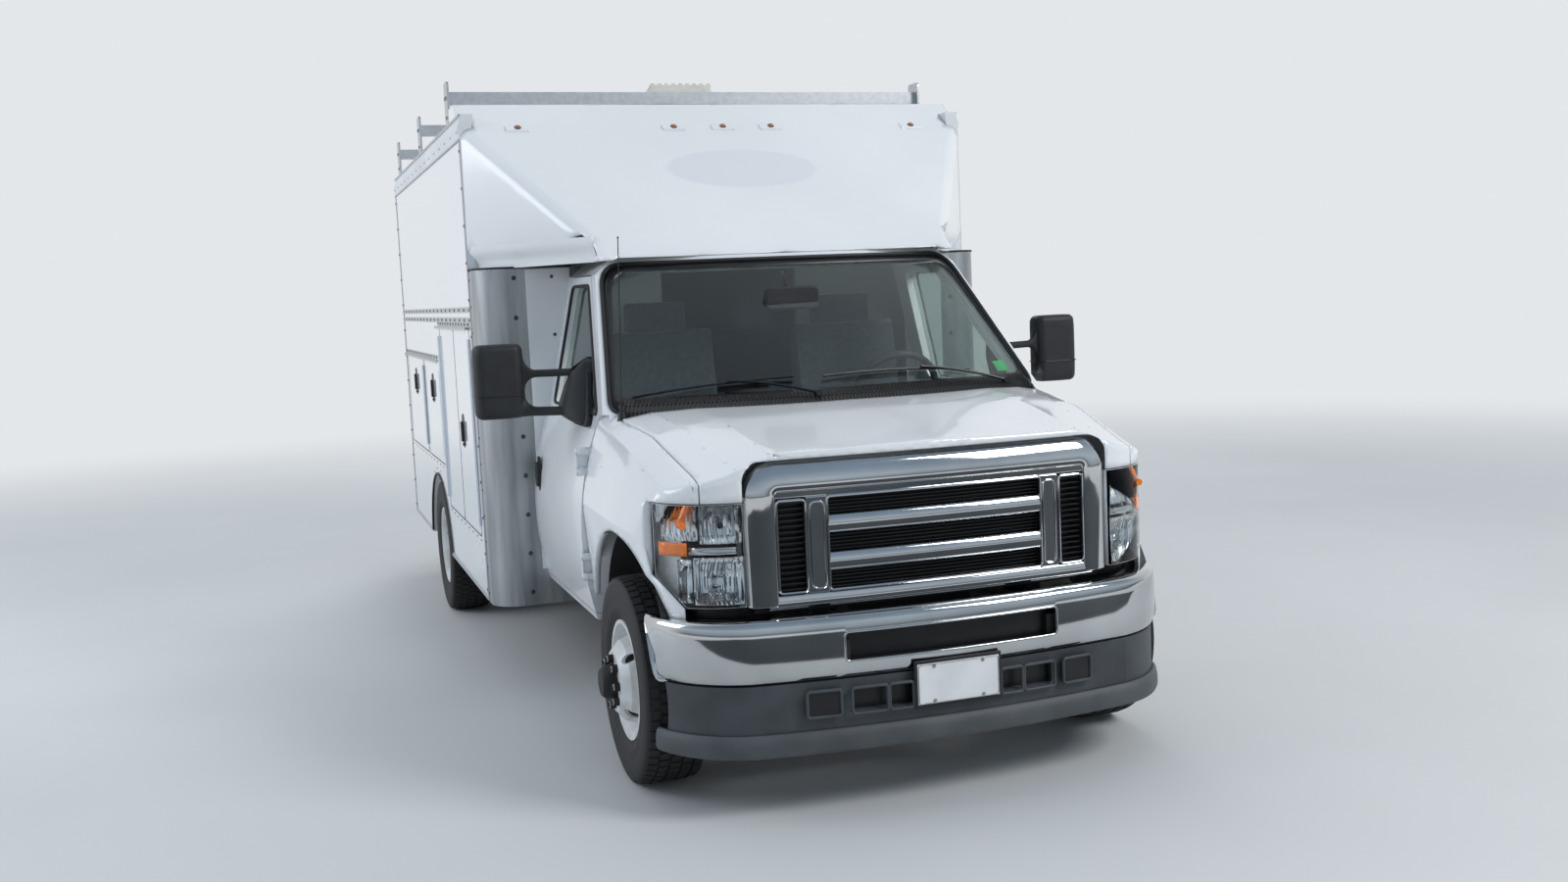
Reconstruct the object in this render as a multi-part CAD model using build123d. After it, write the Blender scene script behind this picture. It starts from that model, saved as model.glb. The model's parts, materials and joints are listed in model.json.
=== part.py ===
from build123d import *
import math
import os

# Cutaway van with a service body. Millimetres, +Z up, the front faces -Y and the
# driver's side is +X. Stations along Y are measured from the front axle, and the
# last section moves everything so that the origin is under the middle of the van.

# Driving dimensions: running gear
wheelbase = 3505.0
tyre_radius = 370.0
tyre_width = 225.0
rim_radius = 214.0
rim_width = 196.0
front_wheel_x = 872.0
rear_wheel_x = 1097.0
dual_spacing = 292.0
hub_bolt_circle = 165.1
hub_studs = 8
hand_holes = 4
axle_z = tyre_radius

# Driving dimensions: chassis
rail_outer_x = 432.0
rail_flange = 64.0
rail_height = 165.0
rail_wall = 8.0
rail_front_y = -540.0
rail_low_z = 420.0
rail_high_z = 500.0
rail_step_y = (2450.0, 2750.0)

# Driving dimensions: cab
cab_front_y = 330.0
wheel_clearance = 42.0
cab_rear_y = 1452.0
cab_belt_z = 1270.0
cab_belt_x = 922.0
cab_wide_x = 1004.0
cab_wide_z = 960.0
cab_sill_x = 965.0
cab_sill_z = 500.0
cab_roof_z = 1880.0
cab_roof_x = 802.0
cab_floor_z = 720.0
cab_wall = 58.0
door_front_y = 432.0
door_gap = 6.0
door_thickness = 62.0
glass_thickness = 6.0
hinge_x = 1014.0
hinge_y = 427.0
screen_foot = (364.0, 1291.0)
screen_head = (983.0, 1862.0)
screen_half_foot = 892.0
screen_half_head = 774.0
screen_bow = 110.0

# Driving dimensions: front end
nose_centre_y = -578.0
nose_side_y = -545.0
nose_side_x = 668.0
nose_corner_x = 925.0
nose_corner_y = -330.0
clip_wall = 26.0
hood_seam_front_x = 800.0
hood_seam_rear_x = 868.0
hood_front_y = -500.0
hood_rear_y = 300.0
cowl_depth = 36.0
cowl_top_z = 1330.0
cowl_half = 862.0
arch_radius = 452.0
arch_centre_z = 452.0
grille_half = 666.0
grille_low_z = 697.0
grille_top_z = 1168.0
grille_open_half = 390.0
grille_open_z = (733.0, 1045.0)
nostril_x = (470.0, 562.0)
nostril_z = (716.0, 1036.0)
grille_bar_height = 62.0
grille_bars = 2
lamp_low_z = 700.0
lamp_top_z = 1040.0
bumper_low_z = 453.0
bumper_top_z = 664.0
bumper_face_y = -690.0
bumper_end_x = 958.0
bumper_end_y = -290.0
bumper_wall = 14.0
bumper_slot_half = 385.0
bumper_slot_z = (517.0, 607.0)
bumper_flange = 62.0
plate_hole_x = 88.9
plate_hole_z = 470.0
plate_hole_radius = 3.5
valance_low_z = 215.0

# Driving dimensions: service body
box_front_y = 1660.0
box_length = 3353.0
box_half = 1212.0
box_skirt_z = 380.0
box_side_top_z = 2448.0
box_top_z = 2560.0
box_wall = 32.0
box_floor_z = 760.0
box_floor_thickness = 55.0
roof_crown = 28.0
rear_arch_radius = 512.0
rear_arch_centre_z = 263.0
locker_depth = 380.0
locker_wall = 12.0
panel_gap = 7.0
wing_thickness = 6.0
wing_bend_x = 1085.0
wing_bend_y = 1600.0

# Driving dimensions: nose cap
cap_low_z = 1874.0
cap_ledge_z = 1960.0
cap_top_z = 2620.0
cap_top_y = 1820.0
cap_back_y = 1990.0
cap_foot_y = 950.0
cap_foot_x = 800.0
cap_wall = 24.0
cap_neck_inset = 34.0
marker_lamps_x = (-955.0, -236.0, 0.0, 236.0, 955.0)
marker_lamp_z = 2492.0

# Driving dimensions: rear
rear_door_half = 780.0
rear_door_low_z = 770.0
rear_door_top_z = 2330.0
rear_door_thickness = 34.0
bumper_rear_depth = 250.0
bumper_rear_half = 1190.0

box_rear_y = box_front_y + box_length
side_inner_x = box_half - box_wall
roof_edge_x = side_inner_x - 18
front_reach = -bumper_face_y
rear_reach = box_rear_y + bumper_rear_depth
front_axle_y = -(rear_reach - front_reach) / 2

nodes = {}


def block(x0, x1, y0, y1, z0, z1):
    """A plain block between six coordinates."""
    shape = Box(abs(x1 - x0), abs(y1 - y0), abs(z1 - z0))
    return Pos((x0 + x1) / 2, (y0 + y1) / 2, (z0 + z1) / 2) * shape


def flat(points, radius=0.0):
    """A face through the points, its corners rounded."""
    face = make_face(Polyline(*points, close=True))
    if radius:
        face = fillet(face.vertices(), radius)
    return face


def along_x(points, x0, x1, radius=0.0):
    """A (y, z) outline drawn out from x0 to x1."""
    return Pos(x0, 0, 0) * extrude(Plane.YZ * flat(points, radius), x1 - x0)


def along_y(points, y0, y1, radius=0.0):
    """An (x, z) outline drawn out from y0 to y1."""
    face = Plane((0, y0, 0), x_dir=(1, 0, 0), z_dir=(0, -1, 0)) * flat(points, radius)
    return extrude(face, -(y1 - y0))


def along_z(points, z0, z1, radius=0.0):
    """An (x, y) outline drawn out from z0 to z1."""
    return Pos(0, 0, z0) * extrude(flat(points, radius), z1 - z0)


def across(shape):
    """The same piece on the other side of the van."""
    return mirror(shape, Plane.YZ)


def both(shape):
    """A piece with its opposite number, as one set of solids."""
    return Compound(children=list(shape.solids()) + list(across(shape).solids()))


def rod_x(radius, x0, x1, y, z):
    """A round bar across the van."""
    return Pos((x0 + x1) / 2, y, z) * Rot(0, 90, 0) * Cylinder(radius, x1 - x0)


def rod_y(radius, y0, y1, x, z):
    """A round bar along the van."""
    return Pos(x, (y0 + y1) / 2, z) * Rot(90, 0, 0) * Cylinder(radius, y1 - y0)


def rod_z(radius, z0, z1, x, y):
    """An upright round bar."""
    return Pos(x, y, (z0 + z1) / 2) * Cylinder(radius, z1 - z0)


def ring(profile):
    """A profile of (along the axle, radius) points turned about the X axis."""
    return revolve(flat(profile), Axis.X, 360)


# Wheels and tyres, each made about its own centre with the outside at +X
def tyre():
    half = tyre_width / 2
    shoulder = tyre_radius - 9
    outline = [(-half + 22, tyre_radius), (half - 22, tyre_radius), (half - 6, shoulder),
               (half, tyre_radius - 60), (half - 8, rim_radius + 22), (half - 20, rim_radius + 1),
               (-half + 20, rim_radius + 1), (-half + 8, rim_radius + 22),
               (-half, tyre_radius - 60), (-half + 6, shoulder)]
    body = ring(outline)
    for groove_x in (-62, -21, 21, 62):
        body -= ring([(groove_x - 5, tyre_radius - 9), (groove_x + 5, tyre_radius - 9),
                      (groove_x + 5, tyre_radius + 5), (groove_x - 5, tyre_radius + 5)])
    return body


def rim(dish, root):
    """A steel disc wheel: the disc's face is at dish and it meets the barrel at root."""
    half = rim_width / 2
    well = rim_radius - 40
    barrel = ring([(-half, rim_radius), (-half, rim_radius - 14), (-half + 16, rim_radius - 24),
                   (-30, well - 6), (30, well - 6), (half - 16, rim_radius - 24),
                   (half, rim_radius - 14), (half, rim_radius), (half - 9, rim_radius),
                   (half - 20, rim_radius - 13), (30, well), (-30, well),
                   (-half + 20, rim_radius - 13), (-half + 9, rim_radius)])
    shoulder = dish - 34 if dish > 0 else dish + 34
    disc = ring([(dish - 8, 62), (dish, 62), (dish, 108), (shoulder + 4, 142), (root + 8, well - 3),
                 (root - 8, well - 3), (shoulder - 5, 136), (dish - 8, 104)])
    for turn in range(hand_holes):
        angle = 360 / hand_holes * (turn + 0.5)
        disc -= Rot(angle, 0, 0) * Pos(0, 138, 0) * Rot(0, 90, 0) * Cylinder(17, 400)
    for turn in range(hub_studs):
        angle = 360 / hub_studs * turn
        stud = Rot(0, 90, 0) * Cylinder(11, 30)
        disc += Rot(angle, 0, 0) * Pos(dish + 8, hub_bolt_circle / 2, 0) * stud
    return barrel + disc


def hub(dish, reach, nose):
    """The hub that fills the wheel's centre hole, from reach out to its nose."""
    return ring([(reach, 0), (reach, 76), (dish - 8, 76), (dish - 8, 61.5), (dish + 20, 58),
                 (nose - 8, 52), (nose, 42), (nose, 0)])


def wheel_at(shape, x, y):
    return Pos(x, y, axle_z) * shape


disc_offset = dual_spacing / 2 - 8
front_hub_reach = 30.0
rear_hub_reach = -(dual_spacing + 40)
front_tyre = wheel_at(tyre(), front_wheel_x, 0)
front_wheel = wheel_at(rim(disc_offset, 22) + hub(disc_offset, front_hub_reach, disc_offset + 44),
                       front_wheel_x, 0)
outer_rear = wheel_at(rim(-disc_offset, -22), rear_wheel_x, wheelbase)
inner_rear = wheel_at(Rot(0, 0, 180) * rim(-disc_offset, -22), rear_wheel_x - dual_spacing,
                      wheelbase)
rear_hub = wheel_at(hub(-disc_offset, rear_hub_reach, 20), rear_wheel_x, wheelbase)
rear_wheels = outer_rear + inner_rear + rear_hub
rear_tyres = Compound(children=[
    wheel_at(tyre(), rear_wheel_x, wheelbase),
    wheel_at(tyre(), rear_wheel_x - dual_spacing, wheelbase)])

nodes["front_tyre_left"] = front_tyre
nodes["front_tyre_right"] = across(front_tyre)
nodes["front_wheel_left"] = front_wheel
nodes["front_wheel_right"] = across(front_wheel)
nodes["rear_tyres_left"] = rear_tyres
nodes["rear_tyres_right"] = across(rear_tyres)
nodes["rear_wheels_left"] = rear_wheels
nodes["rear_wheels_right"] = across(rear_wheels)


# Steering knuckle: two lugs on the kingpin, a web, the spindle and the steering arm
kingpin_x = front_wheel_x - 110
kingpin_boss = 33.0
lug_gap = 42.0
seat_gap = 0.3
spindle_end_x = front_wheel_x + front_hub_reach - seat_gap


def knuckle():
    body = block(kingpin_x + 40, kingpin_x + 62, -45, 45, axle_z - 92, axle_z + 92)
    for low in (axle_z - 92, axle_z + lug_gap):
        body += rod_z(kingpin_boss, low, low + 50, kingpin_x, 0)
        body += block(kingpin_x, kingpin_x + 45, -33, 33, low, low + 50)
    body += rod_x(32, kingpin_x + 50, spindle_end_x, 0, axle_z)
    body += rod_x(135, kingpin_x + 62, kingpin_x + 70, 0, axle_z)
    body += along_z([(kingpin_x - 12, 20), (kingpin_x + 20, 20), (kingpin_x - 30, 170),
                     (kingpin_x - 62, 160)], axle_z - 90, axle_z - 66)
    return body


nodes["knuckle_left"] = knuckle()
nodes["knuckle_right"] = across(knuckle())


# Frame: two channel rails that step up over the rear axle, and their cross-members
def rail_profile(extra_low=0.0, extra_high=0.0):
    low, high = rail_low_z + extra_low, rail_high_z + extra_low
    tall = rail_height - extra_low + extra_high
    y0, y1 = rail_step_y
    rear = box_rear_y - 30
    return [(rail_front_y, low), (y0, low), (y1, high), (rear, high),
            (rear, high + tall), (y1, high + tall), (y0, low + tall), (rail_front_y, low + tall)]


def rail():
    outer_x = rail_outer_x
    body = along_x(rail_profile(), outer_x - rail_flange, outer_x)
    slot = along_x(rail_profile(rail_wall, -rail_wall), outer_x - rail_flange - 1,
                   outer_x - rail_wall)
    return body - slot


cross_members = [
    # station, depth along Y, height, drop below the rail's top
    (-480.0, 70.0, 90.0, 20.0),
    (620.0, 90.0, 45.0, 120.0),
    (1500.0, 70.0, 60.0, 5.0),
    (2200.0, 70.0, 60.0, 5.0),
    (3080.0, 70.0, 60.0, 5.0),
    (3900.0, 70.0, 60.0, 5.0),
    (4880.0, 70.0, 120.0, 25.0),
]
cross_half = rail_outer_x - rail_wall + 2
spring_top_x = 560.0
spring_top_z = 545.0


def frame_rails():
    frame = rail() + across(rail())
    for station, depth, height, drop in cross_members:
        raised = station > rail_step_y[1]
        top = (rail_high_z if raised else rail_low_z) + rail_height - drop
        frame += block(-cross_half, cross_half, station, station + depth, top - height, top)
    for station in (430.0, 1300.0):
        bracket = block(rail_outer_x - 4, 640, station, station + 100,
                        rail_low_z + 70, rail_low_z + rail_height)
        bracket += rod_z(38, rail_low_z + 100, cab_floor_z - 40 - seat_gap, 590, station + 50)
        frame += bracket + across(bracket)
    tower = block(rail_outer_x - 4, spring_top_x + 62, -62, 62, spring_top_z, spring_top_z + 40)
    return frame + tower + across(tower)


nodes["frame_rails"] = frame_rails()


# Front suspension: two forged beams that cross under the engine, each with a coil spring
beam_half = 31.0
spring_seat_z = 402.0


def beam(side):
    pivot, knee, end = -side * 300, side * 420, side * (kingpin_x - 70)
    y0 = -2 * beam_half - 6 if side > 0 else 6
    outline = [(pivot, 350), (pivot, 412), (knee, 366), (end, 400), (side * kingpin_x, 400),
               (side * kingpin_x, 340), (end, 340), (knee, 300)]
    body = along_y(outline, y0, y0 + 2 * beam_half)
    body += rod_z(kingpin_boss, axle_z - lug_gap + seat_gap, axle_z + lug_gap - seat_gap,
                  side * kingpin_x, 0)
    body += rod_y(30, y0 - 5, y0 + 2 * beam_half + 5, pivot, 381)
    body += rod_z(64, 340, spring_seat_z, side * spring_top_x, y0 + beam_half)
    return body


def coil_spring(side):
    y0 = -beam_half - 6 if side > 0 else beam_half + 6
    low, high, turns = spring_seat_z + seat_gap, spring_top_z - seat_gap, 5
    pitch = (high - low) / turns
    outline = [(0, low)]
    for turn in range(turns):
        z = low + pitch * turn
        outline += [(58, z), (62, z + pitch * 0.25), (58, z + pitch * 0.5), (48, z + pitch * 0.75)]
    outline += [(58, high), (0, high)]
    coil = revolve(Plane.XZ * flat(outline), Axis.Z, 360)
    return Pos(side * spring_top_x, y0, 0) * coil


nodes["front_suspension"] = Compound(children=[beam(1), beam(-1), coil_spring(1), coil_spring(-1)])

# Rear axle with its differential, and two leaf springs with their hangers
axle_tube_end = rear_wheel_x + rear_hub_reach - seat_gap
rear_axle = rod_x(44, -axle_tube_end, axle_tube_end, wheelbase, axle_z)
rear_axle += Pos(0, wheelbase, axle_z) * Sphere(158)
rear_axle += rod_y(62, wheelbase - 270, wheelbase, 0, axle_z)
drum_x = rear_wheel_x - dual_spacing - rim_width / 2 - 10
rear_axle += rod_x(150, drum_x - 12, drum_x, wheelbase, axle_z)
rear_axle += rod_x(150, -drum_x, -drum_x + 12, wheelbase, axle_z)
spring_x = 520.0
leaf_width = 75.0
leaf_half_lengths = (690.0, 560.0, 430.0, 300.0)
leaf_thickness = 13.0


def leaf_spring():
    base_z = axle_z + 44 + seat_gap
    pack = None
    for count, half in enumerate(leaf_half_lengths):
        low = base_z + leaf_thickness * (len(leaf_half_lengths) - 1 - count)
        leaf = block(spring_x - leaf_width / 2, spring_x + leaf_width / 2,
                     wheelbase - half, wheelbase + half, low, low + leaf_thickness)
        pack = leaf if pack is None else pack + leaf
    top = base_z + leaf_thickness * len(leaf_half_lengths)
    pack += block(spring_x - 50, spring_x + 50, wheelbase - 75, wheelbase + 75, top, top + 22)
    for end in (-1, 1):
        y = wheelbase + end * (leaf_half_lengths[0] - 30)
        pack += block(rail_outer_x + seat_gap, spring_x + leaf_width / 2, y - 35, y + 35,
                      top - leaf_thickness, rail_high_z + 90)
    return pack


springs = leaf_spring()
nodes["rear_axle"] = Compound(children=[rear_axle, springs, across(springs)])

# Engine, gearbox, propeller shaft, exhaust and fuel tank
engine_half = 235.0
engine_y = (-330.0, 420.0)
engine_z = (500.0, 1010.0)
engine = block(-engine_half, engine_half, *engine_y, *engine_z)
mount_reach = rail_outer_x - rail_flange - seat_gap
engine += block(-mount_reach, mount_reach, 20, 100, engine_z[0] + 20, engine_z[0] + 60)
nodes["engine_block"] = engine

shaft_z = 460.0
shaft_y = (1180.0, 2120.0)
shaft_radius = 40.0
pinion_y = wheelbase - 270
gearbox = along_x([(engine_y[1] + seat_gap, 470), (engine_y[1] + seat_gap, 850), (600, 740),
                   (900, 640), (shaft_y[0], 560), (shaft_y[0], 420), (900, 476)], -150, 150)
drop = shaft_z - axle_z
run = pinion_y - shaft_y[1] - seat_gap
rear_shaft = Pos(0, shaft_y[1] + run / 2, (shaft_z + axle_z) / 2) * Rot(
    90 - math.degrees(math.atan2(drop, run)), 0, 0) * Cylinder(shaft_radius - 5, math.hypot(run, drop))
rear_shaft -= block(-200, 200, pinion_y - seat_gap, pinion_y + 200, 0, 900)
driveline = gearbox + rod_y(shaft_radius, shaft_y[0] - 20, shaft_y[1], 0, shaft_z)
driveline = driveline + rod_y(54, shaft_y[1] - 30, shaft_y[1] + 26, 0, shaft_z) + rear_shaft

tank_top_z = rail_high_z + rail_height - 65 - seat_gap
nodes["fuel_tank"] = along_y([(-330, 330), (330, 330), (330, tank_top_z), (-330, tank_top_z)],
                             3940, 4780, 40)
exhaust_x = -260.0
exhaust_z = 380.0
muffler_y = (1650.0, 2350.0)
exhaust = rod_y(30, 250, muffler_y[0] + 10, exhaust_x, exhaust_z)
exhaust += rod_y(30, muffler_y[1] - 10, 2950, exhaust_x, exhaust_z)
exhaust += rod_y(90, *muffler_y, exhaust_x, exhaust_z)
exhaust += rod_z(28, exhaust_z, 600, exhaust_x - 4, 280)
exhaust += block(exhaust_x - 40, -engine_half - seat_gap, -200, 330, 590, 650)
exhaust += block(exhaust_x - 20, exhaust_x + 20, 2215, 2245, exhaust_z + 80,
                 rail_low_z + rail_height - 65 - seat_gap)
nodes["driveline"] = Compound(children=[driveline, exhaust])


# Cab shell. Its cross-section is one outline of lines and arcs, inset for each skin
def cab_section(inset):
    x_floor, z_floor = cab_sill_x - inset, cab_sill_z + inset
    mid_z = (cab_sill_z + cab_belt_z) / 2
    with BuildSketch(Plane.XY) as sketch:
        with BuildLine():
            low = (x_floor, z_floor)
            wide = (cab_wide_x - inset, cab_wide_z)
            belt = (cab_belt_x - inset, cab_belt_z)
            shoulder = (cab_roof_x - inset, cab_roof_z - 60)
            roof = (cab_roof_x - inset - 70, cab_roof_z - inset)
            ThreePointArc(low, wide, belt)
            Line(belt, shoulder)
            Line(shoulder, roof)
            Line(roof, (-roof[0], roof[1]))
            Line((-roof[0], roof[1]), (-shoulder[0], shoulder[1]))
            Line((-shoulder[0], shoulder[1]), (-belt[0], belt[1]))
            ThreePointArc((-belt[0], belt[1]), (-wide[0], wide[1]), (-low[0], low[1]))
            Line((-low[0], low[1]), low)
        make_face()
    return sketch.face()


def cab_prism(inset, y0, y1):
    plane = Plane((0, y0, 0), x_dir=(1, 0, 0), z_dir=(0, -1, 0))
    return extrude(plane * cab_section(inset), -(y1 - y0))


# The windscreen lies on a large cylinder whose axis follows the screen's slope
screen_slope = math.atan2(screen_head[1] - screen_foot[1], screen_head[0] - screen_foot[0])
screen_radius = (screen_half_foot ** 2 + screen_bow ** 2) / (2 * screen_bow)


def screen_cylinder(inset):
    radius = screen_radius - inset
    lean = math.degrees(screen_slope)
    corner_sag = math.sqrt(screen_radius ** 2 - screen_half_foot ** 2)
    normal = Vector(0, math.sin(screen_slope), -math.cos(screen_slope))
    foot = Vector(0, screen_foot[0], screen_foot[1])
    centre = foot + normal * corner_sag
    return Pos(centre.X, centre.Y, centre.Z) * Rot(-(90 - lean), 0, 0) * Cylinder(
        radius, 6000)


def cab_mass(inset, y0, y1):
    return cab_prism(inset, y0, y1) & screen_cylinder(inset)


pillar_width = 52.0
window_border = 46.0
door_radius = 977.0
door_low_z = 530.0


def door_outline(grow):
    """The door seen from the side, grown outward all round."""
    rise = math.tan(screen_slope)
    edge_y = screen_foot[0] + pillar_width
    knee_z = screen_foot[1] + (door_front_y - edge_y) * rise
    head_z = cab_roof_z - 64 + grow
    head_y = edge_y + (head_z - screen_foot[1]) / rise
    return [(door_front_y - grow, door_low_z - grow), (door_front_y - grow, knee_z + grow * 0.4),
            (head_y - grow * 1.9, head_z), (1500, head_z), (1500, door_low_z - grow)]


def door_disc(grow):
    return rod_z(door_radius + grow, 300, 2200, hinge_x, hinge_y)


def door_blank(grow):
    """The door's whole volume, stopping at its inner skin below the floor's level."""
    blank = along_x(door_outline(grow), 600, 1100) & door_disc(grow)
    return blank - block(500, cab_sill_x - door_thickness - grow, 300, 1600, 300, cab_floor_z + grow)


window_low_z = cab_belt_z + 18


def window_outline(inset):
    rise = math.tan(screen_slope)
    low = window_low_z + inset
    high = cab_roof_z - 104 - inset
    edge_y = screen_foot[0] + pillar_width + window_border + inset * 1.5
    return [(edge_y, low), (edge_y + (high - low) / rise, high), (1318 - inset, high),
            (1330 - inset, low)]


def window_blank(inset):
    return along_x(window_outline(inset), 600, 1100, 30)


cab_outer = cab_mass(0, cab_front_y, cab_rear_y)
cab_inner = cab_prism(cab_wall, cab_front_y + 50, cab_rear_y + 10) & screen_cylinder(45)
cab_inner -= block(-1100, 1100, 0, 2000, 0, cab_floor_z)
underside = block(-720, 720, cab_front_y - 5, cab_rear_y + 5, 300, cab_floor_z - 40)
tunnel = block(-260, 260, cab_front_y - 5, 790, 300, 1060)


def screen_outline(inset):
    """The glass seen from the front, each corner taken off by two short cuts."""
    right = []
    for x, z, toward in ((screen_half_foot - inset, screen_foot[1] + inset, 1),
                         (screen_half_head - inset, screen_head[1] - 6 - inset, -1)):
        lean = toward * (screen_half_foot - screen_half_head) / (screen_head[1] - screen_foot[1])
        cut = 50 if toward > 0 else 84
        cuts = [(x - cut, z), (x - cut * 0.3, z + toward * cut * 0.25),
                (x - cut * lean * toward, z + toward * cut * 0.92)]
        right += cuts if toward > 0 else cuts[::-1]
    return right + [(-x, z) for x, z in reversed(right)]


screen_opening = along_y(screen_outline(0), 0, 1300)
cab_body = cab_outer - cab_inner - underside - tunnel - screen_opening
for side_blank in (door_blank(door_gap), across(door_blank(door_gap))):
    cab_body -= side_blank
arch_relief = rod_x(arch_radius, -1100, 1100, 0, arch_centre_z)
cab_body -= arch_relief
fender_room_top_z = 1288.0
fender_room = cab_prism(-4, cab_front_y - 5, door_front_y) - cab_prism(24, 300, 500)
cab_body -= fender_room & block(-1100, 1100, 300, 500, 300, fender_room_top_z)

pane_shell = screen_cylinder(4) - screen_cylinder(4 + glass_thickness)
nodes["windscreen"] = along_y(screen_outline(seat_gap), 0, 1300) & pane_shell

door_shell = cab_mass(0, cab_front_y, cab_rear_y) - cab_prism(
    door_thickness, cab_front_y - 20, cab_rear_y + 20)
door_left = (door_shell & door_blank(0)) - window_blank(0)
door_knuckles = [(690.0, 740.0), (1090.0, 1140.0)]
knuckle_radius = 6.0
for low, high in door_knuckles:
    door_left += rod_z(knuckle_radius, low, high, hinge_x, hinge_y)
    door_left += block(hinge_x - 40, hinge_x, hinge_y, hinge_y + 18, low, high)
glass_left = (cab_prism(24, cab_front_y, cab_rear_y) - cab_prism(
    24 + glass_thickness, cab_front_y - 5, cab_rear_y + 5)) & window_blank(0.3)
nodes["cab_door_left"] = door_left
nodes["cab_door_right"] = across(door_left)
nodes["door_glass_left"] = glass_left
nodes["door_glass_right"] = across(glass_left)

# Door mirror: a tall rounded head on two arms from a base at the window's front corner
mirror_outer_x = 1330.0
mirror_head_x = 1135.0
mirror_y = 815.0
mirror_z = (1268.0, 1562.0)


def cab_side_x(z):
    """The cab's half-width above the belt, where its side is flat."""
    return cab_belt_x + (z - cab_belt_z) * (cab_roof_x - cab_belt_x) / (cab_roof_z - 60 - cab_belt_z)


def door_mirror():
    head = along_z([(mirror_head_x, mirror_y - 60), (mirror_outer_x, mirror_y - 60),
                    (mirror_outer_x, mirror_y + 50), (mirror_head_x, mirror_y + 50)],
                   mirror_z[0], mirror_z[1], 40)
    head = fillet(head.edges().group_by(Axis.Z)[-1] + head.edges().group_by(Axis.Z)[0], 28)
    for z, radius, foot_y in ((1440.0, 15.0, 700.0), (1292.0, 18.0, 640.0)):
        start = Vector(mirror_head_x + 40, mirror_y - 5, z)
        end = Vector(cab_side_x(z) + 12, foot_y, z)
        middle = (start + end) / 2
        along = end - start
        arm = Plane(origin=middle, z_dir=along) * Cylinder(radius, along.length)
        head += arm
    base = along_x([(door_front_y + 70, 1236), (door_front_y + 300, 1236),
                    (door_front_y + 330, 1470), (door_front_y + 290, 1500),
                    (door_front_y + 235, 1450)], 820, 1000, 10)
    skin = cab_prism(-24, cab_front_y, cab_rear_y) - cab_prism(
        -0.4, cab_front_y - 5, cab_rear_y + 5)
    return head + (base & skin)


nodes["mirror_left"] = door_mirror()
nodes["mirror_right"] = across(door_mirror())


# Front clip: fenders and hood are cut from one lofted shell
clip_front = [(0, 1193), (560, 1181), (668, 1126), (812, 1066), (884, 1020), (912, 965), (925, 900),
              (898, 690)]
clip_mid = [(0, 1282), (590, 1276), (740, 1262), (850, 1230), (918, 1178), (962, 1070), (985, 930),
            (950, 600)]
clip_rear = [(0, 1324), (600, 1319), (770, 1311), (866, 1298), (924, 1264), (971, 1130), (1003, 960),
             (968, 520)]
clip_fillet = 26.0
clip_mid_y = -60.0
clip_front_y = -620.0
clip_rear_y = door_front_y - door_gap


def clip_section(points, y, inset):
    right = [(x - inset if x else 0, z - inset if z > 800 else z - 60 * (inset > 0))
             for x, z in points]
    left = [(-x, z) for x, z in reversed(right[1:])]
    face = flat(right + left, clip_fillet)
    return Plane((0, y, 0), x_dir=(1, 0, 0), z_dir=(0, -1, 0)) * face


def nose_plan(grow, z0, z1):
    """The front of the body in plan, grown outward, drawn out from z0 to z1."""
    side_x, side_y = nose_side_x, nose_side_y - grow
    corner = (nose_corner_x + grow, nose_corner_y)
    bulge = ((side_x + corner[0]) / 2 + 46, (side_y + corner[1]) / 2 - 30)
    with BuildSketch(Plane.XY) as sketch:
        with BuildLine():
            ThreePointArc((-side_x, side_y), (0, nose_centre_y - grow), (side_x, side_y))
            ThreePointArc((side_x, side_y), bulge, corner)
            Polyline(corner, (1100 + grow, -50), (1100 + grow, 900), (-1100 - grow, 900),
                     (-1100 - grow, -50), (-corner[0], corner[1]))
            ThreePointArc((-corner[0], corner[1]), (-bulge[0], bulge[1]), (-side_x, side_y))
        make_face()
    return Pos(0, 0, z0) * extrude(sketch.face(), z1 - z0)


def clip_mass(inset):
    front = clip_section(clip_front, clip_front_y, inset)
    middle = clip_section(clip_mid, clip_mid_y, inset)
    rear = clip_section(clip_rear, clip_rear_y, inset)
    body = loft([front, middle, rear], ruled=True)
    return body & nose_plan(-inset, 200, 1500)


clip_shell = clip_mass(0) - clip_mass(clip_wall)
clip_room = clip_mass(-seat_gap) - clip_mass(clip_wall + seat_gap)
cab_body -= clip_room & block(-1100, 1100, 300, 500, 300, fender_room_top_z)
hinge_link = 28.0
hinge_links = []
for low, high in door_knuckles:
    for z0, z1 in ((low - hinge_link, low - 0.5), (high + 0.5, high + hinge_link)):
        inner_x = hinge_x - (66 if z0 > high and high > 1000 else 45)
        hinge_links.append((inner_x, z0, z1))
        pocket = block(inner_x - 1, hinge_x, hinge_y - 17, hinge_y, z0 - 1, z1 + 1)
        cab_body = cab_body - pocket - across(pocket)
nodes["cab_body"] = cab_body.solids().sort_by(lambda s: s.volume)[-1]
hood_outline = [(-hood_seam_front_x, -800), (hood_seam_front_x, -800),
                (hood_seam_front_x, -440), (hood_seam_rear_x, hood_rear_y),
                (-hood_seam_rear_x, hood_rear_y), (-hood_seam_front_x, -440)]
hood_hole = along_z([(x * 1.007, y) for x, y in hood_outline], 1000, 1500)
hood_blank = along_z(hood_outline, 1000, 1500) & block(-1000, 1000, -800, hood_rear_y - 6, 0, 2000)
cowl_arc = screen_cylinder(-cowl_depth) & block(-cowl_half, cowl_half, -400, 900, 1000, 1600)
grille_outline = [(-grille_half, grille_low_z), (grille_half, grille_low_z),
                  (grille_half, grille_top_z), (-grille_half, grille_top_z)]
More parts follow.
